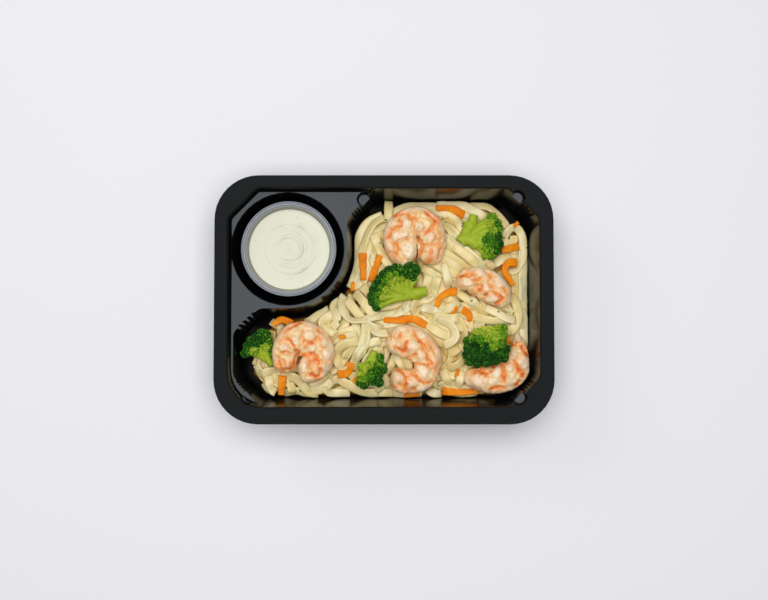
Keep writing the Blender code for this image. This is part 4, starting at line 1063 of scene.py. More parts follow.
# %% Shrimps seen in the picture
# All in pixels. A line runs from one end of the body to the other, with half its width at each place. A lobe
# has a radius. A gap is a line where the body opens. A stain has a strength, a width and a line.
SHRIMP_Z = 27.0
SHRIMPS_SEEN = {
    "shrimp_1": {
        "line": [(414, 260, 9.5), (405.5, 253, 16), (400.5, 240, 18), (404.5, 227, 17.2), (416.5, 222, 16),
                 (427.7, 226.5, 15), (431.5, 238, 14.6), (431, 251, 14.2), (428, 264.5, 10)],
        "lobes": [(405, 224, 5.5), (411.5, 250, 8.5), (429.5, 236.5, 5), (419.5, 227, 4.5), (397, 237, 5),
                  (404.5, 234.5, 4), (389, 248, 4.5), (391, 223, 4), (432, 253, 6)],
        "gaps": [[(418, 237.5), (420, 241), (423, 246)],
                 [(423, 245.5), (420.4, 253.5), (417.7, 258), (419.5, 262.5)]],
        "stains": [
            (1.15, 1.4, [(394.5, 216), (400.5, 214), (406, 213), (410.5, 218), (416, 219.6)]),
            (1.1, 1.2, [(388.2, 239), (390, 234), (391, 230.4), (394.5, 228.6), (400.7, 226.8),
                        (401.6, 222.3), (398, 218.8)]),
            (1.0, 1.7, [(393.6, 262.5), (393.6, 257), (397, 250), (396, 244.6), (392.7, 242.4)]),
            (0.9, 1.4, [(425.7, 211.6), (428.4, 214.3), (432.9, 217.9), (435.5, 220.5), (432.9, 225.9),
                        (431, 229.5), (425.7, 233)]),
            (0.75, 0.8, [(423, 244.6), (430.2, 244.8), (437.3, 244.6), (443.6, 242.9)]),
            (0.85, 2.0, [(425.7, 267), (427.5, 262.5), (430.2, 257), (431, 250)]),
            (0.5, 1.4, [(438, 258), (441, 247)]),
            (0.75, 0.8, [(413.2, 221.4), (414, 227.7)]),
            (1.0, 1.2, [(406.5, 238.8), (407, 238.8)]),
            (0.6, 1.0, [(399, 240), (396, 243), (391, 243)])]},
    "shrimp_2": {
        "line": [(456.5, 278.5, 5.5), (462, 279.5, 10.5), (470, 280, 12.5), (480, 282.5, 16),
                 (489.5, 287, 16.3), (497.5, 294.5, 14), (502, 302, 10), (503.5, 308, 5.5)],
        "lobes": [(473.1, 277.6, 2.3), (485.7, 285, 3.6), (486.2, 290, 3.6), (492.5, 299.2, 6),
                  (459.5, 280, 6), (467, 283.5, 6), (480, 271, 6), (500, 282, 6), (499, 307, 4)],
        "gaps": [],
        "stains": [
            (1.1, 1.5, [(461.5, 276.4), (465.8, 274.5), (469.2, 275.9), (472.1, 274.5), (474.5, 276)]),
            (1.0, 1.0, [(472.1, 280.3), (476, 280.3), (479.9, 278.8)]),
            (0.95, 1.4, [(477, 285.1), (478.4, 288.1), (479.9, 291), (481.4, 285.6)]),
            (0.6, 1.4, [(484.7, 270.6), (487.7, 273), (491, 277.4), (493.5, 280.8)]),
            (0.9, 1.2, [(488.1, 282.2), (490.1, 284.7), (492, 287.1)]),
            (0.9, 1.1, [(486.7, 293.9), (486, 295)]),
            (1.3, 1.0, [(494.4, 292.4), (497.4, 294.8), (501.7, 296.8), (502.2, 299.2), (498.3, 302.6),
                        (495.9, 303.6)]),
            (0.9, 0.8, [(473.6, 294.4), (478.4, 299.7), (483.8, 301.1), (488.6, 305), (494, 307.4)]),
            (0.5, 2.3, [(483.3, 281), (484, 281)]),
            (0.5, 1.3, [(504.6, 289), (507.5, 294.8)])]},
    "shrimp_3": {
        "line": [(298.5, 369.5, 11), (308, 368.5, 15.5), (315.5, 361, 18), (315.5, 349, 18.5),
                 (306, 339, 18), (294.5, 339.5, 16.2), (286.6, 348, 13.6), (285, 360, 12.4),
                 (287, 372.5, 9.5)],
        "lobes": [(284.6, 348.4, 4.5), (295.4, 340.4, 4.3), (309.6, 336, 5), (311.4, 347.5, 4.5),
                  (300.7, 364.5, 8), (288, 365, 3.6), (323.9, 343, 4), (327, 355, 4.5), (324, 367, 4)],
        "gaps": [[(295.5, 350.5), (298.5, 352)],
                 [(298, 353.5), (295.5, 359), (293.6, 367), (290.5, 375)]],
        "stains": [
            (1.0, 1.2, [(284.6, 331.4), (290, 327.9), (297, 324.3), (300.7, 322.5)]),
            (0.9, 1.1, [(287.3, 339.5), (290, 340.4), (292.7, 344.8), (293.6, 346.6)]),
            (0.9, 0.9, [(303.8, 331.4), (302.5, 335.9), (303.4, 341.3)]),
            (0.9, 1.2, [(316.8, 337.7), (314.1, 342), (308.8, 344)]),
            (0.8, 1.4, [(318.6, 330.5), (323.9, 333.2)]),
            (1.1, 1.2, [(302.5, 354.6), (308.8, 353.8), (314, 354.6), (317.7, 357.3), (318.6, 363.6)]),
            (1.05, 1.7, [(320.5, 369.5), (320, 375), (315.9, 377), (311.5, 374)]),
            (0.8, 2.2, [(310, 368), (311.4, 363.6), (315.9, 360)]),
            (0.9, 1.4, [(278.4, 356.4), (279.3, 365.4), (282.9, 370.7), (290, 369), (293, 363.6)]),
            (0.9, 0.9, [(280.2, 352.9), (286.4, 351.5), (290.9, 353.8)]),
            (0.8, 1.2, [(283, 360), (285, 364)]),
            (0.45, 1.0, [(320, 338), (322, 349), (323, 362), (319, 372)])]},
    "shrimp_4": {
        "line": [(387, 338, 7.5), (393, 340, 13), (406, 341.5, 17.5), (417.5, 346, 17), (425, 354.5, 15.5),
                 (427.5, 362.5, 14.2), (426, 371, 13.3), (420.5, 378.5, 12.8), (410, 382, 12),
                 (397, 379.5, 11.6), (390, 379, 8)],
        "lobes": [(386.4, 341, 4.5), (392.1, 330.5, 3.5), (392.6, 351, 3.5), (412, 347.3, 6),
                  (421.4, 355, 4.6), (422.5, 371, 7.5), (412, 381, 6.5), (397.9, 378, 5.5),
                  (422.5, 389.5, 4), (423, 334, 5.5), (399, 345, 3.2), (434, 362, 5)],
        "gaps": [[(410.5, 363.5), (413.5, 366.5)],
                 [(405.5, 362), (408, 369)],
                 [(406.5, 385), (404.5, 391)]],
        "stains": [
            (0.9, 1.4, [(385.8, 331.6), (388.5, 335.3), (391, 337.9)]),
            (0.8, 1.2, [(395.3, 338.9), (398.9, 338.4), (400.5, 335.3)]),
            (1.1, 1.1, [(394.7, 347.8), (398.9, 349.4), (403.1, 352), (405.7, 348.3), (405.2, 344.7),
                        (407.3, 341.5)]),
            (1.2, 1.0, [(414.1, 331.1), (414.6, 335.3), (416.7, 338.9), (419.8, 341), (423.5, 345.2)]),
            (0.9, 1.2, [(423.5, 349.4), (427.2, 352.5), (428.2, 355.7)]),
            (1.0, 1.8, [(428.2, 359.8), (430.8, 363), (428.2, 365.6)]),
            (0.8, 1.0, [(431.9, 347.8), (435, 353.6)]),
            (0.9, 1.0, [(408.3, 357.2), (411.5, 357.2), (415.7, 354.1)]),
            (0.9, 0.9, [(415.7, 364), (422.5, 364), (425.1, 364.5)]),
            (0.9, 1.0, [(411.5, 373.4), (415.7, 375.5), (419.8, 380.8), (425.1, 383.4), (430.3, 382.9),
                        (431.9, 380.8)]),
            (1.0, 1.4, [(388.5, 368.2), (396.3, 368.7), (403.1, 372.4), (405.7, 377.1), (405.2, 383.4),
                        (404.2, 386.5)]),
            (1.0, 1.6, [(385.8, 375.5), (386.9, 380.8), (391, 386), (395.3, 388.1)]),
            (0.9, 1.8, [(400, 384.4), (402.6, 387.6)]),
            (1.0, 2.0, [(405.7, 390.2), (409.4, 392.3), (413.6, 389.7)])]},
    "shrimp_5": {
        "line": [(467.5, 371, 7), (474, 376.5, 11.5), (484, 378.5, 14), (495, 379, 15), (506, 376, 16.3),
                 (515, 368.5, 15.5), (518.5, 358, 12), (519.5, 348, 8.5), (518.8, 340, 5.5),
                 (517.5, 334, 3)],
        "lobes": [(479.4, 380, 8.5), (523.3, 362.8, 6), (496.3, 371.5, 5.5), (509, 368, 4.5),
                  (513, 355, 4.5), (518.2, 339, 3.5), (510, 380, 5.5), (494, 381.5, 5)],
        "gaps": [],
        "stains": [
            (0.9, 1.2, [(468.2, 366.4), (474.8, 366.4), (477.4, 367.9)]),
            (1.2, 1.6, [(473.3, 373.5), (475.3, 371.5), (481, 370.5), (482.5, 372.5)]),
            (0.8, 1.3, [(490.7, 371), (486.6, 374), (485.6, 376)]),
            (1.1, 1.5, [(492.7, 362.8), (493.2, 366.9)]),
            (0.9, 1.4, [(500.9, 363.3), (502.4, 367.9), (504.4, 373), (503.4, 377.6), (503.9, 382.2)]),
            (1.2, 1.1, [(490.7, 389.3), (494.7, 388.3), (500.3, 386.8), (504.9, 387.8)]),
            (1.2, 1.4, [(513.6, 362.3), (516.7, 365.4), (518.2, 370.5), (521.8, 372), (523.3, 375.6)]),
            (1.1, 1.4, [(521.8, 346.5), (524.3, 350.6), (527.9, 354.7)]),
            (1.0, 1.1, [(508.5, 346.5), (512.1, 345.5), (515.1, 344.4)]),
            (0.9, 1.4, [(519.2, 381.7), (516.2, 385.3)]),
            (0.7, 1.2, [(506, 360.8), (509, 362.3)])]},
}
print("stains:", sum(len(seen["stains"]) for seen in SHRIMPS_SEEN.values()))

# %% Shrimp finish
# A cooked shrimp is wet, so it has a thin shiny coat over softer flesh. Its colours follow the marks stored
# on each mesh, broken up by a mottle of 3 mm: white lobes, a glassy back, and orange that turns to red.
shrimp_finish, place = new_finish("cooked shrimp", Roughness=0.32, IOR=1.4, Coat_Weight=0.35,
                                  Coat_Roughness=0.14)
let_light_in(shrimp_finish, 0.25, (1.0, 0.5, 0.3), 0.8 * MM)
marks = {name: add_node(shrimp_finish, "Attribute", attribute_name=name).outputs["Fac"]
         for name in ("orange", "lobe", "back")}
mottle = add_node(shrimp_finish, "TexNoise", {
    "Vector": place, "Scale": 330.0, "Detail": 4.0, "Roughness": 0.62}).outputs["Fac"]
tone = add_node(shrimp_finish, "ValToRGB", {"Fac": mottle}, stops=[
    (0.32, "#edb36a"), (0.5, "#f4d297"), (0.68, "#f8e4bb")]).outputs["Color"]
patch = add_node(shrimp_finish, "Math", {0: marks["orange"], 1: mottle}, operation="MULTIPLY").outputs[0]
orange = add_node(shrimp_finish, "MapRange", {"Value": patch, "From Min": 0.04, "From Max": 0.58})
red = add_node(shrimp_finish, "MapRange", {"Value": patch, "From Min": 0.54, "From Max": 0.95})
for share, over in ((marks["lobe"], "#f8ead0"), (marks["back"], "#f2dabb"),
                    (orange.outputs["Result"], "#f29140"), (red.outputs["Result"], "#e2502a")):
    layer = add_node(shrimp_finish, "Mix", {"Factor": share, "A": tone, "B": over}, data_type="RGBA")
    tone = layer.outputs["Result"]
pores = add_node(shrimp_finish, "Bump", {"Height": mottle, "Strength": 0.5, "Distance": 0.5 * MM})
set_shader(shrimp_finish, Base_Color=tone, Normal=pores.outputs["Normal"])
print("finish:", shrimp_finish.name)

# %% [markdown]
# The body is swept first, finer above than below, with the grooves between its segments. Then the points
# under each mark of the picture are found through the camera, and raised, sunk or coloured there.

# %% Shape the shrimps
SHRIMP_FLATNESS = 0.7
SEGMENT_LENGTH = 9.0 * MM
BLUNT_LENGTH = 4.0 * MM
UPPER_STEPS, LOWER_STEPS = 84, 18


def shrimp_body(node, seen, seed):
    """A curled body in segments, with how far outwards on the curl each of its points lies."""
    low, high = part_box(node)
    line = [(*seen_at(px, py, SHRIMP_Z), half / PIXELS_PER_MM * MM) for px, py, half in seen["line"]]
    line = rounded_path(line, 0.45 * MM)
    rings = len(line)
    path = np.column_stack([line[:, :2], np.full(rings, 0.5 * (low[2] + high[2]))])
    along = path_lengths(path)
    blunt = np.clip(np.minimum(along, along[-1] - along) / BLUNT_LENGTH, 0.0, 1.0)
    size = line[:, 2] * np.sqrt(1.0 - (1.0 - blunt) ** 2 * 0.93)
    ahead = np.gradient(path[:, :2], axis=0)
    turning = np.sum(ahead[:-1, 0] * ahead[1:, 1] - ahead[:-1, 1] * ahead[1:, 0])
    sign = 1.0 if turning > 0 else -1.0
    phi = np.concatenate([np.linspace(0.0, math.pi, UPPER_STEPS, endpoint=False),
                          np.linspace(math.pi, 2 * math.pi, LOWER_STEPS, endpoint=False)])
    out = np.cos(phi)[None, :] * np.ones((rings, 1))
    at = along[:, None] * np.ones_like(out) / MM
    segment = at * MM / SEGMENT_LENGTH + 0.16 * np.sin(3.0 * out) + 0.3 * wobble(seed + 1, 0.1 * at, out, 1.0)
    within_one = segment - np.floor(segment)
    bulge = np.sqrt(np.clip(4.0 * within_one * (1.0 - within_one), 0.0, 1.0))
    reach = 1.0 - (0.03 + 0.07 * np.clip(0.5 - 0.9 * out, 0.0, 1.0)) * (1.0 - bulge) ** 1.3
    reach += 0.07 * (wobble(seed + 3, 0.42 * at, 3.0 * out, 1.0) - 0.5)
    reach += 0.04 * (wobble(seed + 4, 1.3 * at, 9.0 * out, 1.0) - 0.5)
    height = np.minimum(SHRIMP_FLATNESS * size, 0.47 * (high[2] - low[2]))
    rounded = np.sign(np.sin(phi)) * np.abs(np.sin(phi)) ** 0.8
    sections = np.stack([sign * out * reach * size[:, None], rounded * reach * height[:, None]], axis=2)
    order = slice(None, None, -1) if sign < 0 else slice(None)
    body = swept(node + "_peeled", path, sections[:, order], np.zeros(rings), shrimp_finish)
    return body, np.concatenate([out[:, order].ravel(), [0.0, 0.0]])


def marks_seen(seen, px, py, seed):
    """How orange, how sunk and how much in a lobe each point is, from where it is seen."""
    orange, sunk, lobe = np.zeros(len(px)), np.zeros(len(px)), np.zeros(len(px))
    blots = 0.5 + wobble(seed + 9, 0.4 * px, 0.4 * py, 1.0)
    for strength, width, stain in seen["stains"]:
        away = near_line(px, py, stain) / width
        fading = 0.62 * np.exp(-(away / 1.25) ** 2) + 0.4 * np.exp(-(away / 2.6) ** 2)
        orange = np.maximum(orange, strength * blots * fading)
        sunk = np.maximum(sunk, 0.9 * strength * np.exp(-(away / 1.15) ** 2))
    for gap in seen["gaps"]:
        away = near_line(px, py, gap)
        sunk = np.maximum(sunk, 4.0 * np.exp(-(away / 1.3) ** 2))
        orange = np.maximum(orange, 0.55 * np.exp(-(away / 2.6) ** 2))
    for lobe_x, lobe_y, radius in seen["lobes"]:
        lobe = np.maximum(lobe, 1.0 - (np.hypot(px - lobe_x, py - lobe_y) / (1.25 * radius)) ** 2)
    return orange, sunk, lobe


def make_shrimp(node, seed):
    """A peeled shrimp with the lobes, gaps and stains that the picture shows."""
    seen = SHRIMPS_SEEN[node]
    low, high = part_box(node)
    shrimp, outward = shrimp_body(node, seen, seed)
    points = np.zeros(len(shrimp.data.vertices) * 3)
    shrimp.data.vertices.foreach_get("co", points)
    points = points.reshape(-1, 3)
    px, py = picture_of(points)
    orange, sunk, lobe = marks_seen(seen, px, py, seed)
    upper = np.clip((points[:, 2] - 0.5 * (low[2] + high[2])) / (2.5 * MM), 0.0, 1.0)
    grain = wobble(seed + 7, 0.55 * px, 0.55 * py, 1.0) - 0.5
    grain += 0.6 * (wobble(seed + 8, 1.2 * px, 1.2 * py, 1.0) - 0.5)
    points[:, 2] += (1.2 * np.clip(lobe, 0.0, 1.0) ** 0.8 - sunk + 0.8 * grain) * upper * MM
    points[:, 2] = np.minimum(points[:, 2], high[2] + 0.8 * MM)
    shrimp.data.vertices.foreach_set("co", points.ravel())
    shrimp.data.update()
    patches = np.clip((wobble(seed + 5, 0.23 * px, 0.23 * py, 1.0) - 0.5) * 2.4, 0.0, 1.0)
    add_values(shrimp, "orange", np.clip(orange + 0.42 * patches + 0.30 * grain + 0.12, 0.0, 1.3))
    add_values(shrimp, "lobe", np.clip(0.75 * lobe, 0.0, 0.62))
    add_values(shrimp, "back", np.clip((outward - 0.62) * 4.0, 0.0, 0.8) * upper)
    return place_on_body(shrimp, "shrimp", node)


shrimps = [make_shrimp(node, 40 + 10 * number) for number, node in enumerate(SHRIMPS_SEEN)]
print("shrimps:", [len(shrimp.data.polygons) for shrimp in shrimps], "faces")

# %% [markdown]
# A broccoli floret is a tree: a thick pale stem forks into branches, and each branch ends in a dome of flower
# buds about a millimetre across. One bud is modelled, and copied over the domes.

# %% Broccoli seen in the picture
# Places are in pixels and radii in millimetres. The root is the cut end of the stem, and the branches part at
# the waist. A dome also has how high it stands in the floret, and how young and so how yellow its buds are. A
# stub is a branch without buds.
FLORET_Z = 29.0
FLORETS_SEEN = {
    "broccoli_1": {
        "root": (462, 241, 6.4), "waist": (469, 234),
        "stubs": [(474.5, 214.5, 2.6), (470, 221, 4.2), (478, 247, 3.2), (466, 231, 4.5)],
        "domes": [(492.6, 217.7, 3.4, 0.55, 0.45), (497, 223, 3.2, 0.5, 0.35),
                  (490, 223.5, 3.0, 0.75, 0.7), (498.6, 229, 2.8, 0.5, 0.4), (493, 230, 3.0, 0.7, 0.65),
                  (497.5, 236, 3.4, 0.6, 0.15), (490.5, 236.5, 3.2, 0.8, 0.35),
                  (485.6, 239.5, 2.8, 0.7, 0.25), (499, 243, 3.2, 0.5, 0.1), (492.5, 243, 3.6, 0.85, 0.3),
                  (485, 245.5, 2.8, 0.6, 0.5), (496.5, 249.5, 3.2, 0.5, 0.15),
                  (489.5, 250.5, 3.2, 0.65, 0.5), (492, 255, 2.6, 0.4, 0.4),
                  (486, 254.5, 2.4, 0.35, 0.6)]},
    "broccoli_2": {
        "root": (421, 294, 5.2), "waist": (404, 295),
        "stubs": [(418, 277.5, 1.5), (427, 291, 3.2)],
        "domes": [(408, 266.3, 3.7, 0.75, 0.12), (414.6, 270.3, 3.7, 0.7, 0.12),
                  (408.8, 273.6, 3.9, 0.95, 0.1), (413, 277.4, 2.6, 0.6, 0.15),
                  (391, 283.5, 2.0, 0.85, 0.72), (396.5, 280, 2.0, 0.85, 0.75),
                  (385.5, 290.5, 2.0, 0.8, 0.72), (383, 298, 2.0, 0.75, 0.75), (382.5, 305, 1.9, 0.6, 0.7),
                  (392, 288.5, 1.5, 0.85, 0.8), (402.5, 279.5, 1.6, 0.9, 0.6),
                  (401, 265.6, 3.2, 0.6, 0.15), (402, 271.5, 3.0, 0.8, 0.2), (395.4, 269, 3.2, 0.6, 0.12),
                  (395.5, 274.6, 2.6, 0.72, 0.45), (389, 270.6, 3.0, 0.55, 0.12),
                  (389.5, 276, 2.6, 0.7, 0.5), (383.8, 275, 3.2, 0.55, 0.1), (385, 281, 2.6, 0.65, 0.4),
                  (380, 279.8, 3.2, 0.5, 0.08), (376.8, 285, 3.3, 0.5, 0.08), (380, 288, 2.6, 0.62, 0.3),
                  (374.4, 290.5, 3.3, 0.5, 0.08), (377.5, 294.5, 2.6, 0.6, 0.3),
                  (372.4, 296, 3.1, 0.45, 0.08), (373, 301.6, 3.1, 0.4, 0.1), (377, 301, 2.4, 0.5, 0.45),
                  (376, 307, 2.9, 0.35, 0.15)]},
    "broccoli_3": {
        "root": (271, 365, 3.7), "waist": (262, 354),
        "stubs": [],
        "domes": [(243.5, 353.5, 2.8, 0.3, 0.15), (246.5, 346.5, 3.0, 0.45, 0.12),
                  (250, 341, 3.0, 0.55, 0.1), (255.5, 337, 3.0, 0.6, 0.12), (260, 333, 3.0, 0.5, 0.15),
                  (265, 334, 2.8, 0.5, 0.2), (260.6, 340, 3.2, 0.85, 0.12), (254.5, 344, 3.2, 0.8, 0.15),
                  (266.5, 341, 3.0, 0.65, 0.2), (253.5, 351, 3.2, 0.8, 0.6), (264.5, 347, 2.6, 0.8, 0.7),
                  (269.5, 347, 2.4, 0.5, 0.3), (248.5, 352, 2.6, 0.55, 0.25), (270, 352, 2.2, 0.4, 0.4)]},
    "broccoli_4": {
        "root": (374, 352, 3.4), "waist": (371, 362),
        "stubs": [(364, 371, 2.4), (358, 376, 2.0)],
        "domes": [(380, 358, 2.6, 0.5, 0.3), (379.5, 364, 3.0, 0.7, 0.35), (382.5, 369.5, 3.0, 0.5, 0.15),
                  (376, 369, 3.4, 0.9, 0.2), (370, 366, 2.8, 0.8, 0.65), (378, 375, 3.2, 0.7, 0.12),
                  (371.5, 374.5, 3.2, 0.85, 0.3), (373, 381, 3.0, 0.5, 0.12), (366, 379, 2.8, 0.6, 0.35),
                  (379, 383, 2.8, 0.35, 0.1), (361.5, 378.5, 2.8, 0.5, 0.5), (364, 385, 2.8, 0.3, 0.05),
                  (359, 383, 2.2, 0.3, 0.2), (363, 371.5, 2.4, 0.6, 0.7), (360, 366.5, 2.2, 0.4, 0.7)]},
    "broccoli_5": {
        "root": (486, 344, 4.0), "waist": (486, 346),
        "stubs": [],
        "domes": [(467, 341, 2.4, 0.3, 0.2), (473, 339, 3.0, 0.5, 0.4), (477, 333, 2.8, 0.4, 0.75),
                  (484, 331, 3.0, 0.45, 0.8), (491, 331, 3.0, 0.5, 0.8), (497.5, 329, 2.8, 0.4, 0.6),
                  (503.5, 328, 2.4, 0.3, 0.45), (502.5, 335, 3.0, 0.5, 0.5), (495, 337, 3.4, 0.8, 0.75),
                  (487.5, 338.5, 3.4, 0.85, 0.65), (480, 340.5, 3.4, 0.8, 0.35),
                  (500.5, 343, 3.4, 0.75, 0.4), (492.5, 346, 3.8, 1.0, 0.45), (484, 347.5, 3.8, 1.0, 0.08),
                  (475.5, 347.5, 3.6, 0.8, 0.06), (468.5, 348, 3.2, 0.5, 0.08), (505, 350, 3.0, 0.5, 0.12),
                  (498.5, 352.5, 3.6, 0.8, 0.08), (490, 354.5, 3.8, 0.9, 0.04), (481, 356, 3.8, 0.9, 0.04),
                  (472.5, 356, 3.6, 0.7, 0.04), (466.5, 355, 2.8, 0.4, 0.08),
                  (503.5, 357.5, 3.0, 0.4, 0.05), (495.5, 360, 3.2, 0.5, 0.06),
                  (486.5, 362, 3.2, 0.5, 0.06), (477.5, 362.5, 3.2, 0.45, 0.05),
                  (469.5, 361.5, 2.8, 0.35, 0.06)]},
}
print("domes:", sum(len(seen["domes"]) for seen in FLORETS_SEEN.values()))

# %% Broccoli finish
# Steamed broccoli is dark green on its outer buds, and yellow-green on young buds and on the stem.
broccoli_finish, place = new_finish("steamed broccoli", Roughness=0.42, IOR=1.4, Specular_IOR_Level=0.25)
let_light_in(broccoli_finish, 0.12, (0.4, 0.8, 0.2), 0.6 * MM)
youth_and_shade = add_node(broccoli_finish, "Attribute", attribute_name="youth_and_shade")
blotch = add_node(broccoli_finish, "TexNoise", {"Vector": place, "Scale": 300.0, "Detail": 3.0})
varied = add_node(broccoli_finish, "Math", {0: blotch.outputs["Fac"], 1: 0.22, 2: youth_and_shade.outputs["Fac"]},
                  operation="MULTIPLY_ADD")
green = add_node(broccoli_finish, "ValToRGB", {"Fac": varied.outputs[0]}, stops=[
    (0.08, "#0a2f07"), (0.3, "#1f6410"), (0.6, "#669d18"), (0.85, "#a7b92c"), (1.0, "#c2c94c")])
set_shader(broccoli_finish, Base_Color=green.outputs["Color"])
print("finish:", broccoli_finish.name)

# %% Grow the florets
BUD_RADIUS = 0.66
GOLDEN_ANGLE = 2.39996
BRANCH_SIDES = 12


def bead_points(detail):
    """The points and faces of an icosphere, which is one bud, or the body of a dome."""
    bpy.ops.object.select_all(action="DESELECT")
    bpy.ops.mesh.primitive_ico_sphere_add(subdivisions=detail, radius=1.0)
    one = bpy.context.active_object
    points = np.array([vertex.co[:] for vertex in one.data.vertices])
    faces = np.array([face.vertices[:] for face in one.data.polygons])
    bpy.data.objects.remove(one)
    return points, faces


BUD_POINTS, BUD_FACES = bead_points(1)
BODY_POINTS, BODY_FACES = bead_points(2)


def make_branch(number, root, bend, end, thick, thin):
    """A branch that bends on its way from the root to its end, all in millimetres."""
    branch = [root * MM, (0.6 * root + 0.4 * bend) * MM, (0.55 * bend + 0.45 * end) * MM, end * MM]
    branch = rounded_path(branch, 0.9 * MM)
    angles = np.linspace(0, 2 * math.pi, BRANCH_SIDES, endpoint=False)
    grow = np.linspace(0.0, 1.0, len(branch))
    radii = (thick * (1.0 - grow) ** 0.8 + thin * grow) * smooth_noise(number, len(branch), 0.93, 1.07)
    ring = np.stack([np.cos(angles), 0.85 * np.sin(angles)], axis=1) * MM
    sections = ring[None] * radii[:, None, None]
    return swept(f"stem_{number}", branch, sections, np.zeros(len(branch)), broccoli_finish), grow


def bud_places(domes, number, floor, ceiling, draw):
    """The centre and size of each bud on a dome that no other dome covers."""
    centre, radius, _ = domes[number]
    others = [(other, size) for k, (other, size, _) in enumerate(domes) if k != number]
    count = int(5.6 * radius ** 2 / BUD_RADIUS ** 2)
    for b in range(count):
        z = 1.0 - 1.6 * (b + 0.5) / count
        around = b * GOLDEN_ANGLE + number
        flat = math.sqrt(max(0.0, 1.0 - z * z))
        normal = np.array([flat * math.cos(around), flat * math.sin(around), z])
        at = centre + normal * radius * draw.uniform(0.93, 1.07)
        if at[2] > ceiling - 0.5 or at[2] < floor + 0.4:
            continue
        if any(np.linalg.norm(at - other) < 0.86 * size for other, size in others):
            continue
        yield at, BUD_RADIUS * draw.uniform(0.72, 1.18)


def make_floret(node, seed):
    """A floret with its stem, its branches and its domes of buds."""
    form = FLORETS_SEEN[node]
    low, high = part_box(node)
    floor, ceiling = low[2] / MM, high[2] / MM
    middle = 0.5 * (floor + ceiling)
    draw = np.random.default_rng(seed)

    def spot(px, py, z):
        """A place of the picture at a height, in millimetres."""
        x, y = seen_at(px, py, FLORET_Z)
        return np.array([x / MM, y / MM, z])

    px, py, root_radius = form["root"]
    root = spot(px, py, max(floor + 0.8 * root_radius, middle - 2.0))
    waist = spot(*form["waist"], middle - 0.5)
    domes = [(spot(px, py, floor + radius * 0.8 + lift * (ceiling - floor - 2.0 * radius)), radius, youth)
             for px, py, radius, lift, youth in form["domes"]]
    ends = [(centre, 0.5 * radius, 0.62 + 0.3 * youth) for centre, radius, youth in domes]
    ends += [(spot(px, py, middle), radius, 0.85) for px, py, radius in form["stubs"]]
    pieces = []
    for k, (end, end_radius, youth) in enumerate(ends):
        bend = waist + draw.uniform(-0.8, 0.8, 3)
        stem, grow = make_branch(k, root, bend, end, root_radius * 0.62, max(end_radius, 1.1))
        values = np.repeat(0.74 - 0.25 * (1.0 - youth) * grow, BRANCH_SIDES)
        pieces.append(add_values(stem, "youth_and_shade", np.concatenate([values, [0.8, 0.6]])))
    points, faces, values, total = [], [], [], 0
    for number, (centre, radius, youth) in enumerate(domes):
        points.append((centre + BODY_POINTS * radius * 0.93) * MM)
        faces.append(BODY_FACES + total)
        # The body of a dome shows between its buds and is painted a step darker than them, as painted shade.
        values += [max(0.0, youth - 0.12)] * len(BODY_POINTS)
        total += len(BODY_POINTS)
        for at, size in bud_places(domes, number, floor, ceiling, draw):
            points.append((at + BUD_POINTS * size) * MM)
            faces.append(BUD_FACES + total)
            values += [float(np.clip(youth + 0.16 * draw.normal(), 0.0, 0.95))] * len(BUD_POINTS)
            total += len(BUD_POINTS)
    buds = mesh_object(node + "_buds", np.vstack(points), np.vstack(faces), broccoli_finish)
    add_values(buds, "youth_and_shade", values)
    return place_on_body(join(node + "_floret", [buds, *pieces]), "broccoli", node)


florets = [make_floret(node, 70 + number) for number, node in enumerate(FLORETS_SEEN)]
print("florets:", [len(floret.data.polygons) for floret in florets], "faces")

# %% [markdown]
# Small stuff lies on what is below it: flecks of chopped herb, and carrot bits that show between the strands.

# %% Places of the small stuff
FLECKS = [
    (386, 219.5), (418.4, 237.5), (462.2, 277.4), (483.3, 295.3), (418, 342.3), (390.2, 382), (438.5, 389.5),
    (413, 396), (510, 250), (528, 247), (462, 226), (463, 223.5), (483, 259.6), (451, 286), (472, 301),
    (409, 396.5), (379, 398.5), (439, 386), (516, 262), (340, 322), (398, 204), (446, 222), (498, 312),
    (380, 243), (300, 391), (463, 392)]
# Where a bit of carrot lies, how wide and how long it is, all in pixels, and how many degrees it is turned.
BITS = [
    (352.5, 286, 4.2, 9.0, 80), (342.5, 337, 4.0, 7.0, 10), (454.7, 310.5, 4.0, 9.0, 55),
    (466, 312, 3.6, 9.0, 160), (356, 380, 7.0, 9.0, 40), (412, 394, 8.0, 16.0, 5), (371, 398, 5.0, 9.0, 10),
    (510.4, 339.5, 7.0, 9.0, 85), (516.5, 224, 4.5, 7.0, 40), (457.5, 374, 4.0, 8.0, 70),
    (426, 397.5, 4.0, 9.0, 5), (470, 318, 5.0, 9.0, 75), (346, 365, 3.5, 8.0, 60)]
FLECK_SIDES = 7
dressing = tree_of(noodles, *shrimps, *florets, dip)


def height_at(x, y):
    """How high the food reaches at a place."""
    hit = dressing.ray_cast(Vector((x, y, HIGH_ABOVE)), DOWN)[0]
    return hit.z if hit is not None else 10.0 * MM


print("flecks:", len(FLECKS), "bits:", len(BITS))

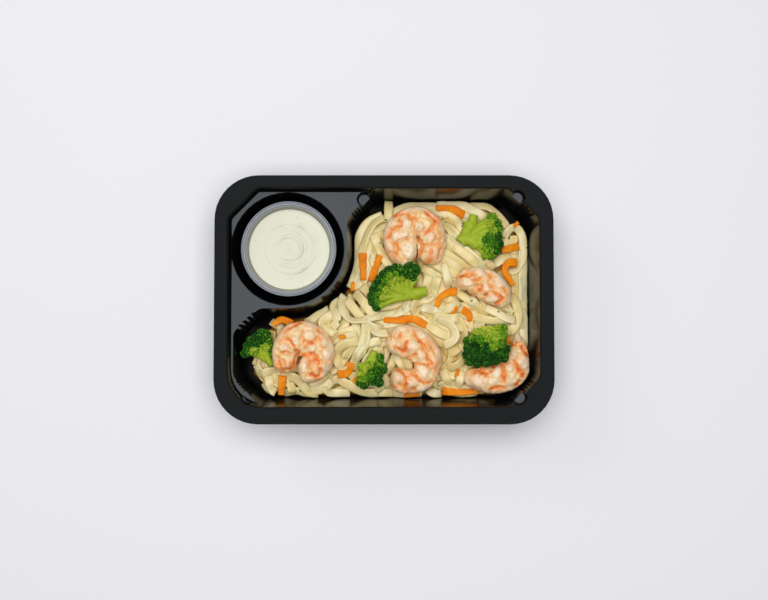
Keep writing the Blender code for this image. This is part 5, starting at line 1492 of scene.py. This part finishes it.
# %% Herb flecks
# Chopped parsley is dark on the leaf's upper side and lighter below, and each fleck shows one or the other.
fleck_finish, place = new_finish("chopped parsley", Roughness=0.5)
leaf = add_node(fleck_finish, "TexNoise", {"Vector": place, "Scale": 400.0})
leaf_tone = add_node(fleck_finish, "ValToRGB", {"Fac": leaf.outputs["Fac"]}, stops=[
    (0.35, "#123a08"), (0.65, "#4f8a1c")])
set_shader(fleck_finish, Base_Color=leaf_tone.outputs["Color"])
points, faces = [], []
for px, py in FLECKS:
    x, y = seen_at(px, py, SEEN_Z)
    z = height_at(x, y)
    turn, long, wide = rng.uniform(0.0, math.pi), rng.uniform(0.8, 1.5) * MM, rng.uniform(0.5, 0.9) * MM
    start = len(points)
    for lift, grow in ((-0.1, 1.0), (0.18, 0.85)):
        for k in range(FLECK_SIDES):
            a = 2 * math.pi * k / FLECK_SIDES
            u, v = long * grow * math.cos(a) * (0.8 + 0.2 * (k % 2)), wide * grow * math.sin(a)
            points.append((x + u * math.cos(turn) - v * math.sin(turn),
                           y + u * math.sin(turn) + v * math.cos(turn), z + lift * MM))
    foot = [start + k for k in range(FLECK_SIDES)]
    top = [k + FLECK_SIDES for k in foot]
    faces += [tuple(reversed(foot)), tuple(top)]
    faces += [(foot[k - 1], foot[k], top[k], top[k - 1]) for k in range(FLECK_SIDES)]
flecks = mesh_object("herb_flecks", points, faces, fleck_finish, smooth=False)
place_on_body(clear_of_walls(flecks), None)
print("flecks:", len(flecks.data.polygons), "faces")

# %% Carrot bits
BIT_THICKNESS = 2.2 * MM
bits = []
for number, (px, py, width, length, degrees) in enumerate(BITS):
    x, y = seen_at(px, py, SEEN_Z)
    z = height_at(x, y) - 0.5 * MM
    angle = math.radians(degrees)
    ends = []
    for s in (-1.0, 0.0, 1.0):
        end_x = x + s * math.cos(angle) * 0.5 * length / PIXELS_PER_MM * MM
        end_y = y + s * math.sin(angle) * 0.5 * length / PIXELS_PER_MM * MM
        ends.append((end_x, end_y, z + rng.uniform(-0.6, 0.6) * MM))
    path = back_inside(rounded_path(ends, 0.8 * MM), wall_map, WALL_GAP)
    section = rounded_strip(width / PIXELS_PER_MM * MM, BIT_THICKNESS, 12, 4.0)
    sections = section[None] * smooth_noise(500 + number, len(path), 0.8, 1.05)[:, None, None]
    bits.append(clear_of_walls(swept(f"bit_{number}", path, sections, np.zeros(len(path)), carrot_finish)))
bits = place_on_body(join("carrot_bits", bits), "carrot")
print("bits:", len(bits.data.polygons), "faces")

# %% [markdown]
# A pale floor and soft light. The big soft box overhead is what the glossy deck of the tray reflects as grey.

# %% Floor
# Matt paper scatters all light. Its faint clouds keep the background from being one flat colour.
FLOOR_HALF, FLOOR_LEVEL = 4.0, -0.2 * MM
floor_finish, place = new_finish("matt paper", Roughness=0.9)
fine = add_node(floor_finish, "TexNoise", {"Vector": place, "Scale": 8.0})
paper = add_node(floor_finish, "Mix", {"Factor": fine.outputs["Fac"], "A": "#f1f1f6", "B": "#f2f2f7"},
                 data_type="RGBA")
set_shader(floor_finish, Base_Color=paper.outputs["Result"])
corner_signs = ((-1, -1), (1, -1), (1, 1), (-1, 1))
floor_corners = [(x * FLOOR_HALF, y * FLOOR_HALF, FLOOR_LEVEL) for x, y in corner_signs]
floor = mesh_object("floor", floor_corners, [(0, 1, 2, 3)], floor_finish)
print("floor:", 2 * FLOOR_HALF, "m wide")

# %% Light
TRAY_MIDDLE = (0.0, 0.0, 20.0 * MM)


def soft_box(name, place, size, power):
    """A soft box at a place, aimed at the middle of the tray."""
    light = bpy.data.lights.new(name, "AREA")
    light.shape = "RECTANGLE"
    light.size, light.size_y = size
    light.energy = power
    lamp = bpy.data.objects.new(name, light)
    lamp.location = place
    lamp.rotation_euler = (Vector(TRAY_MIDDLE) - Vector(place)).to_track_quat("-Z", "Y").to_euler()
    bpy.context.scene.collection.objects.link(lamp)


soft_box("overhead", (0.0, 0.12, 1.55), (1.5, 1.5), 24.2)
soft_box("window", (-1.3, 0.9, 1.0), (0.8, 0.8), 4.5)
world = bpy.data.worlds.new("studio")
bpy.context.scene.world = world
world.use_nodes = True
backdrop = world.node_tree.nodes["Background"]
backdrop.inputs["Color"].default_value = colour("#f2f3f6")
backdrop.inputs["Strength"].default_value = 0.12
print("lights:", len(bpy.data.lights))
